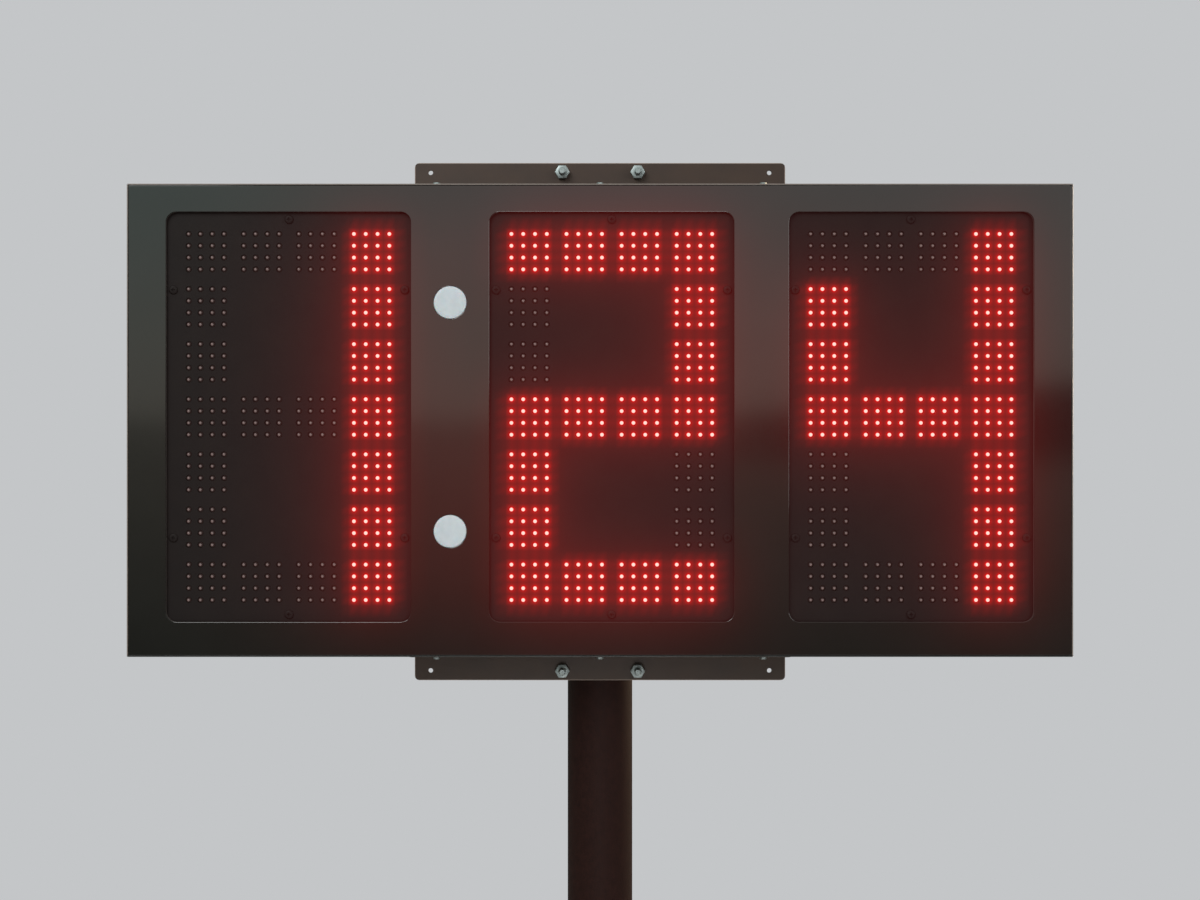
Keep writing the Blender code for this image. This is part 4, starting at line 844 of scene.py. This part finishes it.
def face_sheet():
    """Lines on both sides of every opening and evenly between, so that the glow has points to rest on."""
    low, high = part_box("face_sheet")
    thickness = high.y - low.y
    half_w, half_h = WINDOW_SIZE[0] / 2 + WINDOW_CELL, WINDOW_SIZE[1] / 2 + WINDOW_CELL
    within = np.linspace(-half_w, half_w, WINDOW_LINES)
    strips = [within + x for x in DIGIT_PLACES.values()]
    colon_x = COLON_X + np.array([-COLON_CELL, COLON_CELL])
    gap = (DIGIT_PLACES["middle"] + DIGIT_PLACES["right"]) / 2 + GAP_LINES
    lines_x = np.sort(np.concatenate([*strips, colon_x, gap, low.x + EDGE_LINES, high.x - EDGE_LINES]))
    colons = COLON_RISE * np.array([-1, 1])
    colon_z = (colons[:, None] + np.array([-COLON_CELL, COLON_CELL])).ravel()
    between = np.concatenate([np.linspace(-half_h, colon_z[0], END_LINES),
                              np.linspace(colon_z[1], colon_z[2], BETWEEN_LINES),
                              np.linspace(colon_z[3], half_h, END_LINES)])
    lines_z = np.sort(np.concatenate([between + DIGIT_HEIGHT, low.z + EDGE_LINES, high.z - EDGE_LINES[:3]]))

    def lines_at(lines, *values):
        return [int(np.abs(lines - value).argmin()) for value in values]

    window_z = lines_at(lines_z, DIGIT_HEIGHT - half_h, DIGIT_HEIGHT + half_h)
    windows = [lines_at(lines_x, x - half_w, x + half_w) + window_z for x in DIGIT_PLACES.values()]
    lamps = [lines_at(lines_x, *colon_x) + lines_at(lines_z, z - COLON_CELL, z + COLON_CELL)
             for z in colons + DIGIT_HEIGHT]
    rim = rolled_rim(FACE_EDGE, thickness)
    lamp_hole = (2 * COLON_HOLE, 2 * COLON_HOLE, COLON_HOLE)
    holes = [(windows, WINDOW_SIZE, rim, WINDOW_ARC), (lamps, lamp_hole, rim, COLON_ARC)]
    outline = ((high.x - low.x, high.z - low.z, FACE_CORNER), rim)
    return sheet_piece("face_panel", lines_x, lines_z, holes, outline, low.y, thickness, "face_sheet",
                       face_coat)


face_sheet()

# %% [markdown]
# ## Cabinet rails, angles and base plate
# These are folded or cut from sheet and plate. Copies of the CAD pieces with softened edges are enough,
# each with the radius that its making leaves.

# %% Softened sheet metal
EDGE_RADIUS_MM = {"top_rail": 0.5, "bottom_rail": 0.5, "left_rail": 0.5, "right_rail": 0.5,
                  "top_mounting_angle": 0.9, "bottom_mounting_angle": 0.9, "base_plate": 1.2,
                  "back_panel": 0.3}
# These rails carry the painted edge highlight.
EDGE_HIGHLIGHTED = ("top_rail", "left_rail", "right_rail")
for node, radius in EDGE_RADIUS_MM.items():
    softened(node, radius, rail_coat if node in EDGE_HIGHLIGHTED else None)

# %% [markdown]
# ## Window frames
# Behind each window lies a frame of folded strip. Its section is a Z: a flange behind the face, a wall
# along the opening and a ledge under the mask. The wall catches the red light of the diodes as well,
# and its grey is lighter than the cabinet coat to lift the shade of the recess: painted light.

# %% Window frames
FRAME_STRIP = 1.2
FRAME_FLANGE = 14.0
FRAME_LEDGE = -13.0
FRAME_REACH = (0.14, 0.245)
FRAME_LINES = 21
# The frame's lighter grey lifts the shade in the window's recess: painted fill light.
frame_coat = glowing_finish("frame_paint_with_painted_fill_light", "#3A3633", "#443F3C", 60, 1.2, (0.5, 0.6), 0.01,
                            specular=0.3)


def window_frame(digit, centre_x):
    """The Z section carried round the window: one ring for each of its eight corners, joined in a loop."""
    low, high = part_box(digit + "_window_frame")
    ledge_back = (high.y - low.y) / MM
    section = MM * np.array([(FRAME_FLANGE, 0), (0, 0), (0, ledge_back - FRAME_STRIP),
                             (FRAME_LEDGE, ledge_back - FRAME_STRIP), (FRAME_LEDGE, ledge_back),
                             (FRAME_STRIP, ledge_back), (FRAME_STRIP, FRAME_STRIP),
                             (FRAME_FLANGE, FRAME_STRIP)])
    centre = np.array([centre_x, DIGIT_HEIGHT])
    lines = [middle + np.linspace(-reach, reach, FRAME_LINES) for middle, reach in zip(centre, FRAME_REACH)]
    rings = rim_rings(centre, WINDOW_SIZE, section, WINDOW_ARC, low.y, lines)
    return make_piece(digit + "_frame_strip", rings, ring_loop(rings), [digit + "_window_frame"],
                      {"glow": glow_at(rings)}, material=frame_coat, slot="cabinet_coat")


for digit, place in DIGIT_PLACES.items():
    window_frame(digit, place)

# %% [markdown]
# ## Pole
# The pole is a 3 inch steel pipe. A pipe has to look round at its outline, so it has many more sides
# than the CAD solid, and a fillet weld joins it to the base plate.

# %% Pole, cap and weld
POLE_SIDES = 160
POLE_WALL = 4 * MM
POLE_EDGE = 0.4 * MM
CAP_STEP = 5 * MM
CAP_SEAT = 0.3 * MM
CAP_RISE = 0.6 * MM
PLATE_TOP = 12.7 * MM
WELD_LEG = 6 * MM
WELD_RIPPLE = 0.35 * MM
WELD_RIPPLES = 56
WELD_OVERLAP = 0.5 * MM
WELD_SINK = 0.2 * MM
WELD_ROOT = 1.5 * MM


def pole_tube():
    """A closed tube with a small chamfer at its upper outer edge."""
    low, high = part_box("pole")
    radius = (high.x - low.x) / 2
    bore = radius - POLE_WALL
    rings = around([(bore, low.z), (radius, low.z), (radius, high.z - POLE_EDGE),
                    (radius - POLE_EDGE, high.z), (bore, high.z)], POLE_SIDES)
    return make_piece("pole_tube", rings, ring_loop(rings), ["pole"])


def pole_cap():
    """A plug in the tube under a shallow dome: radius = edge cos t, height = rise sin t."""
    low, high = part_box("pole_cap")
    edge = (high.x - low.x) / 2
    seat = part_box("pole")[1].z + CAP_SEAT
    arc = np.linspace(0, math.pi / 2, 9)[:-1]
    crown = np.stack([edge * np.cos(arc), high.z - CAP_RISE + CAP_RISE * np.sin(arc)], -1)
    plug = [(edge - CAP_STEP, low.z), (edge - CAP_STEP, seat), (edge, seat)]
    rings = around(np.concatenate([plug, crown]), POLE_SIDES)
    return make_piece("pole_cap_dome", rings, closed_stack(rings), ["pole_cap"])


def pole_weld():
    """A fillet whose leg swells and shrinks along the seam: leg = mean + ripple sin(56 t)."""
    low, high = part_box("pole")
    radius = (high.x - low.x) / 2
    leg = WELD_LEG + WELD_RIPPLE * np.sin(turns(2 * POLE_SIDES) * WELD_RIPPLES)
    base = PLATE_TOP - WELD_SINK
    rows = [(radius - WELD_OVERLAP + leg * math.cos(turn), base + leg * math.sin(turn))
            for turn in np.linspace(0, math.pi / 2, 6)]
    rings = around([*rows, (radius - WELD_ROOT, base)], 2 * POLE_SIDES)
    return make_piece("pole_weld", rings, ring_loop(rings), material=weld_bead, slot="stand_coat",
                      body="stand")


pole_tube()
pole_cap()
pole_weld()

# %% [markdown]
# ## Clamp bolts
# A U-bolt is a bent rod with a rolled thread on both legs. The rod is a circle carried along a U, and
# the thread is a fine wave in its radius that turns once for each 1.5 mm of length.

# %% U-bolts
ROD_RADIUS = 5 * MM
THREAD_PITCH = 1.5 * MM
THREAD_DEPTH = 0.75 * MM
THREAD_LENGTH = 30 * MM
TIP_CHAMFER = 1.6 * MM
BEND_CENTRE_Y = -0.00105
BEND_RADIUS = 0.0508
ROD_SIDES = 24


def u_bolt(name, node):
    """Path = leg, half circle, leg. A ring lies across it at each step, with radius = rod - thread wave."""
    low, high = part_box(node)
    height = (low.z + high.z) / 2
    leg = BEND_CENTRE_Y - low.y
    fine = np.arange(0, THREAD_LENGTH, THREAD_PITCH / 6)
    total = 2 * leg + math.pi * BEND_RADIUS
    shank = np.linspace(THREAD_LENGTH, leg, 6)
    bend = np.linspace(leg, total - leg, 40)[1:-1]
    along = np.concatenate([fine, shank, bend, total - shank[::-1], total - fine[::-1]])
    angle = np.clip((along - leg) / BEND_RADIUS, 0, math.pi)
    straight = np.maximum(np.maximum(leg - along, along - total + leg), 0)
    middle = np.stack([-BEND_RADIUS * np.cos(angle), BEND_CENTRE_Y + BEND_RADIUS * np.sin(angle) - straight,
                       np.full_like(along, height)], -1)
    outward = np.stack([-np.cos(angle), np.sin(angle), 0 * angle], -1)
    turn = turns(ROD_SIDES)
    end_gap = np.minimum(along, total - along)[:, None]
    wave = np.abs(((end_gap / THREAD_PITCH - turn / (2 * math.pi)) % 1) * 2 - 1)
    threaded = np.clip((THREAD_LENGTH - end_gap) / THREAD_PITCH, 0, 1)
    lead = np.clip(1 - end_gap / TIP_CHAMFER, 0, 1)
    radius = ROD_RADIUS - THREAD_DEPTH * wave * threaded * (1 - lead) - TIP_CHAMFER * lead
    rings = (middle[:, None] + radius[..., None] * (np.cos(turn)[None, :, None] * outward[:, None]
                                                    + np.sin(turn)[None, :, None] * np.array([0, 0, 1.0])))
    return make_piece(name, rings, closed_stack(rings), [node])


for end in ("top", "bottom"):
    u_bolt(end + "_clamp_rod", end + "_u_bolt")

# %% [markdown]
# ## Nuts and bolt heads
# A hexagon's flat sides are cut by a cone at both faces, which leaves the curved bright edges that make
# a nut look like a nut. The hexagon's radius changes round the turn as flat / cos of the angle to the
# flat, and the cone lowers each point by its excess over the chamfer circle times tan 30 degrees.

# %% Nuts and bolt heads
HEX_SIDES = 48
CHAMFER_SLOPE = math.tan(math.radians(30))
CHAMFER_CIRCLE = 0.955
NUT_BORE = 4.6 * MM
SEAT_AND_SIGN = {"top": (1.8591, 1), "bottom": (1.2409, -1)}
BOLT_SHANK_MM = ((1.8, 0.0), (2.45, 0.8))
WASHER_MM = ((2.5, -0.01), (2.7, 0), (5.0, 0), (5.0, 0.9), (4.9, 1.0), (3.6, 1.0))
BOLT_HEAD_MM = (8.0, 3.5, 1.0)
WASHER_TOP_MM = 1.0


def hexagon_rows(across_flats, height, share, sides):
    """Rows of (radius, along): chamfer circle, hexagon low, hexagon high, chamfer circle."""
    flat = across_flats / 2
    outer = flat / np.cos(turns(sides) % (math.pi / 3) - math.pi / 6)
    circle = share * flat
    drop = (outer - circle) * CHAMFER_SLOPE
    return [(circle, 0), (outer, drop), (outer, height - drop), (circle, height)]


def nut(node):
    """Bore, chamfered hexagon and bore again, joined in a loop, so the nut is open for its rod."""
    low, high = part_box(node)
    height = high.y - low.y
    rows = hexagon_rows(high.z - low.z, height, CHAMFER_CIRCLE, HEX_SIDES)
    rings = around([(NUT_BORE, 0), *rows, (NUT_BORE, height)], HEX_SIDES)
    place = middle_of(node) + (0, height / 2, 0)
    return make_piece(node + "_chamfered", to_front(rings, place), ring_loop(rings), [node])


def bolt(node, seat, sign):
    """Shank through the angle and the rail, then the washer, then a chamfered head, along sign * Z."""
    low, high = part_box(node)
    tip = ((low.z if sign > 0 else high.z) - seat) * sign
    width, height, hollow = BOLT_HEAD_MM
    rows = [*hexagon_rows(width, height, CHAMFER_CIRCLE, HEX_SIDES), (hollow, height)]
    head = around([(radius, along + WASHER_TOP_MM) for radius, along in rows], HEX_SIDES) * MM
    shank = around(BOLT_SHANK_MM, HEX_SIDES) * MM + (0, 0, tip)
    rings = np.concatenate([shank, around(WASHER_MM, HEX_SIDES) * MM, head])
    rings[..., 2] = rings[..., 2] * sign + seat
    rings[..., :2] += middle_of(node)[:2]
    return make_piece(node + "_finished", rings, closed_stack(rings), [node])


for end, (seat, sign) in SEAT_AND_SIGN.items():
    for side in ("left", "right"):
        nut(f"{end}_clamp_nut_{side}")
    for side in ("left", "middle", "right"):
        bolt(f"{end}_angle_bolt_{side}", seat, sign)

# %% [markdown]
# ## Colon lenses
# The two dots of the colon are opal acrylic discs, pressed in from behind. Each stands a little proud of
# the face with a rounded rim, and its flange and skirt stay hidden inside the cabinet.

# %% Colon lenses
DISC_ROUND_MM = 0.9
DISC_SIDES = 96
DISC_MM = ((16.9, -18.5), (18.9, -18.5), (18.9, -4.6), (25.5, -4.6), (25.5, -2.6), (20.9, -2.6))
CROWN_RISE_MM = 0.1
CROWN_MM = ((14.63, -0.04), (6.27, 0.0))


def colon_lens(node):
    """Profile: skirt, flange, wall through the face, a quarter round, then a very shallow crown."""
    low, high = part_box(node)
    arc = np.linspace(0, math.pi / 2, 5)
    wall = DISC_MM[-1][0]
    rim = np.stack([wall - DISC_ROUND_MM * (1 - np.cos(arc)),
                    -CROWN_RISE_MM - DISC_ROUND_MM * (1 - np.sin(arc))], -1)
    rings = around(np.concatenate([DISC_MM, rim, CROWN_MM]) * MM, DISC_SIDES)
    front = middle_of(node) + (0, (low.y - high.y) / 2, 0)
    return make_piece(node + "_disc", to_front(rings, front), closed_stack(rings), [node])


for end in ("upper", "lower"):
    colon_lens("colon_lens_" + end)

# %% [markdown]
# ## Back panel screws
# Sixteen pan-head screws hold the back panel to the rails' inner lips. They are zinc plated, smaller than
# the mask's, and lie in a row 8 mm inside the cabinet's edge.

# %% Back panel screws
PANEL_BACK = -0.04875
PANEL_SCREW_INSET = 8 * MM
PANEL_SCREW_SIZE = 0.7
CABINET_HALF = (0.6096, 0.3048)
SIDE_SCREW_RISE = 0.1


def pairs(across, up):
    """Every place (x, z) with an x of across and a z of up."""
    return np.stack(np.meshgrid(across, up, indexing="ij"), -1).reshape(-1, 2)


row_x = np.linspace(-1, 1, 6) * (CABINET_HALF[0] - PANEL_SCREW_INSET)
row_z = np.array([-1, 1]) * (CABINET_HALF[1] - PANEL_SCREW_INSET)
side_places = pairs(row_x[[0, -1]], (-SIDE_SCREW_RISE, SIDE_SCREW_RISE))
panel_places = np.concatenate([pairs(row_x, row_z), side_places])
screws("back_panel_screws", panel_places + (0, CABINET_MIDDLE[2]), PANEL_BACK, to_back, "zinc",
       PANEL_SCREW_SIZE)

# %% [markdown]
# ## Cable gland
# The supply cord enters through a nylon gland: a hexagon body against the panel and a domed clamping nut
# with grip ribs, which squeezes a rubber sleeve. The ribs are a wave in the radius, 24 to the turn.

# %% Cable gland
GLAND_PLACE = (-0.110, PANEL_BACK + 0.3 * MM, 1.31)
GLAND_SIDES = 144
GLAND_RIBS = 24
GLAND_RIB_MM = 0.5
GLAND_THREAD_MM = ((6.0, -13.5), (9.5, -13.5), (10.0, -13.0), (10.0, 0.0))
GLAND_HEXAGON_MM = (26.0, 6.0)
GLAND_CHAMFER_CIRCLE = 0.96
GLAND_DOME_MM = ((11.0, 6.0, 0.0), (11.0, 6.6, 0.0), (11.5, 7.4, 1.0), (11.5, 14.8, 1.0), (11.1, 15.6, 0.4),
                 (10.6, 17.0, 0.0), (9.9, 19.0, 0.0), (9.2, 20.6, 0.0), (8.4, 21.6, 0.0), (7.6, 22.0, 0.0),
                 (6.6, 21.9, 0.0), (6.0, 21.2, 0.0))


def gland():
    """Rings over thread, hexagon and dome and down the bore. A dome row's third value is its share of the
    ribs: radius = row - share * rib * (0.5 - 0.5 cos 24 t) ** 2."""
    ribs = GLAND_RIB_MM * (0.5 - 0.5 * np.cos(GLAND_RIBS * turns(GLAND_SIDES))) ** 2
    hexagon = hexagon_rows(*GLAND_HEXAGON_MM, GLAND_CHAMFER_CIRCLE, GLAND_SIDES)
    dome = [(radius - share * ribs, along) for radius, along, share in GLAND_DOME_MM]
    rings = around([*GLAND_THREAD_MM, *hexagon, *dome], GLAND_SIDES) * MM
    return make_piece("ribbed_cable_gland", to_back(rings, GLAND_PLACE), ring_loop(rings), ["cable_gland"])


gland()

# %% [markdown]
# ## Power switch
# The rocker sits in a black snap-in bezel with a rounded rim. The rocker keeps its CAD shape, because it
# has to swing in the sleeve, and gets the soft edges of a moulding.

# %% Power switch
SWITCH_PLACE = (-0.170, PANEL_BACK + 0.3 * MM, 1.31)
SWITCH_SLOT = (13 * MM, 24 * MM, 0.4 * MM)
BEZEL_MM = ((0, 1.6), (0.4, 2.0), (4.4, 2.0), (5.4, 1.6), (6.0, 0.7), (6.0, 0), (2, 0), (2, -14), (0, -14))
BEZEL_ARC = 5


def switch_bezel():
    """Rounded rectangles from the sleeve's mouth out over the rim and back along the sleeve, in a loop."""
    width, height, corner = SWITCH_SLOT
    rings = np.array([
        np.insert(rounded_ring(width + 2 * out, height + 2 * out, corner + out, BEZEL_ARC), 2, up, axis=1)
        for out, up in np.array(BEZEL_MM) * MM])
    return make_piece("switch_bezel", to_back(rings, SWITCH_PLACE), ring_loop(rings), ["switch_body"])


switch_bezel()
softened("switch_rocker", 0.7, segments=3)

# %% [markdown]
# ## Aerial
# The radio's stub aerial stands on a plated fork. Its rubber sleeve has a ribbed root that bends easily,
# tapers to the tip and ends in a round cap.

# %% Aerial
WHIP_PLACE = (0.110, -0.01745, 1.31)
WHIP_SIDES = 48
WHIP_ROOT_MM = ((1.9, -3.6), (2.2, -3.3), (2.2, 8.5), (4.0, 8.5))
WHIP_RIBS = 6
RIB_START_MM = 9.0
RIB_PITCH_MM = 1.6
RIB_MM = ((4.3, 0.0), (4.8, 0.3), (4.8, 0.9), (4.3, 1.2))
WHIP_BODY_MM = ((4.7, 19.4), (4.8, 20.0), (4.8, 37.0))
TIP_RADIUS_MM = 3.6
TIP_START_MM = 101.4


def whip():
    """Blade, shoulder, ribs of 1.6 mm pitch, a straight part, the taper and a quarter round at the tip."""
    ribs = [(radius, RIB_START_MM + RIB_PITCH_MM * rib + step) for rib in range(WHIP_RIBS)
            for radius, step in RIB_MM]
    arc = np.linspace(0, math.pi / 2, 8)[:-1]
    tip = np.stack([np.cos(arc), np.sin(arc)], -1) * TIP_RADIUS_MM + (0, TIP_START_MM)
    rings = around([*WHIP_ROOT_MM, *ribs, *WHIP_BODY_MM, *tip], WHIP_SIDES) * MM
    return make_piece("aerial_sleeve", rings + WHIP_PLACE, closed_stack(rings), ["aerial_whip"])


whip()
softened("aerial_holder", 0.35)

# %% [markdown]
# ## Drain plugs
# Two rubber plugs under the cabinet let condensed water out. Each is a mushroom head on a stem.

# %% Drain plugs
PLUG_SIDES = 32
PLUG_HEAD_MM = ((0.8, 0), (1.8, 0.1), (2.4, 0.5), (2.6, 1.0), (2.5, 1.3), (1.6, 1.3))


def drain_plug(node):
    """Profile up the axis: the round head below the rail, then the thin stem with its tapered end."""
    low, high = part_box(node)
    rise = (high.z - low.z) / MM
    rings = around([*PLUG_HEAD_MM, (1.6, rise - 1.0), (1.1, rise)], PLUG_SIDES) * MM
    rings += middle_of(node) - (0, 0, (high.z - low.z) / 2)
    return make_piece(node + "_mushroom", rings, closed_stack(rings), [node], slot="rubber")


for side in ("left", "right"):
    drain_plug("drain_plug_" + side)

# %% [markdown]
# ## Floor, light and surroundings
# The clock stands on a plain pale floor under soft light. A glossy face mirrors whatever is in front of
# it, so the reflections are those of a field: a soft grey sky above eye level and dark ground below it.

# %% Floor
FLOOR_PROFILE = ((3.0, -0.002), (3.0, -0.0005), (2.99, 0.0))
FLOOR_SIDES = 128
floor_rings = around(FLOOR_PROFILE, FLOOR_SIDES)
floor = in_scene("studio_floor", mesh_of("studio_floor", floor_rings, closed_stack(floor_rings)))
floor_paint = even_finish("pale_floor_paint", "#A8A8A7", "#ACACAB", 400, 3, (0.6, 0.75), 0.02)
floor.data.materials.append(floor_paint)

# %% [markdown]
# ### Surroundings
# The surroundings are colours by direction, whose x runs to the right and z up. Each pair below is a
# range of x or z over which one colour passes into the next: the sky's left and right halves, the haze
# above the horizon, the dark red wall at the right with its sloping top, and the ground.

# %% Surroundings
SKY_SIDES = (-0.28, -0.05)
HAZE_RISE = (0.02, 0.16)
WALL_START = (0.03, 0.12)
WALL_SLOPE = (0.05, 0.3)
WALL_TOP = (0.018, 0.042)
WALL_FOOT = (-0.012, 0.0)
GROUND_FALL = (-0.12, 0.0)
HORIZON = (-0.003, 0.003)
DIFFUSE_SATURATION = 0.2


def surroundings():
    """Mirrors see the field and its sky, matt surfaces a greyer version, the camera a pale background."""
    world = bpy.data.worlds.new("studio_world")
    bpy.context.scene.world = world
    world.use_nodes = True
    tree = world.node_tree
    tree.nodes.clear()
    way = add(tree, "SeparateXYZ", {0: add(tree, "TexCoord").outputs["Generated"]})
    across, up = way.outputs["X"], way.outputs["Z"]
    clear = mixed(tree, ranged(tree, across, SKY_SIDES), "#C9E0D9", "#D7DCD8")
    sky = mixed(tree, ranged(tree, up, HAZE_RISE), "#D5D0C1", clear)
    field = mixed(tree, ranged(tree, up, GROUND_FALL), "#464940", "#868478")
    on_wall = ranged(tree, up, WALL_FOOT, (0.0, ranged(tree, across, WALL_START)))
    under = mixed(tree, on_wall, field, "#2C0604")
    top = ranged(tree, across, WALL_SLOPE, WALL_TOP)
    above = worked(tree, "SUBTRACT", up, top)
    around_all = mixed(tree, ranged(tree, above, HORIZON), under, sky)
    rays = add(tree, "LightPath").outputs
    grey = add(tree, "HueSaturation", {"Saturation": DIFFUSE_SATURATION, "Color": around_all})
    felt = mixed(tree, rays["Is Diffuse Ray"], around_all, grey.outputs[0])
    shown = mixed(tree, rays["Is Camera Ray"], felt, "#C4C6C8")
    background = add(tree, "Background", {"Color": shown, "Strength": 1.0})
    add(tree, "OutputWorld", {"Surface": background.outputs[0]})


surroundings()

# %% Lights
LIGHTS = (  # name, place, target, width, watts, colour
    ("key", (-1.6, -2.6, 3.6), (0, 0, 1.5), 2.2, 90, "#FFFFFF"),
    ("fill", (2.4, -2.0, 2.2), (0, 0, 1.4), 1.8, 30, "#FFFFFF"),
    ("rear", (1.9, 1.4, 1.9), (0, 0, 1.0), 1.2, 60, "#FFE0B8"),
    ("floor_bounce", (0.0, -1.6, 0.6), (0, 0, 1.25), 0.7, 6, "#FFFFFF"),
)
for name, place, target, width, watts, colour in LIGHTS:
    lamp = bpy.data.lights.new(name, "AREA")
    lamp.shape = "DISK"
    lamp.size = width
    lamp.energy = watts
    lamp.color = linear(colour)[:3]
    light = in_scene(name, lamp)
    light.location = place
    way = np.array(target) - np.array(place)
    flat = math.hypot(way[0], way[1])
    light.rotation_euler = (math.atan2(flat, -way[2]), 0, math.atan2(-way[0], way[1]))
    light.visible_camera = False
bpy.context.scene.view_settings.view_transform = "Standard"
print("lights:", [row[0] for row in LIGHTS])
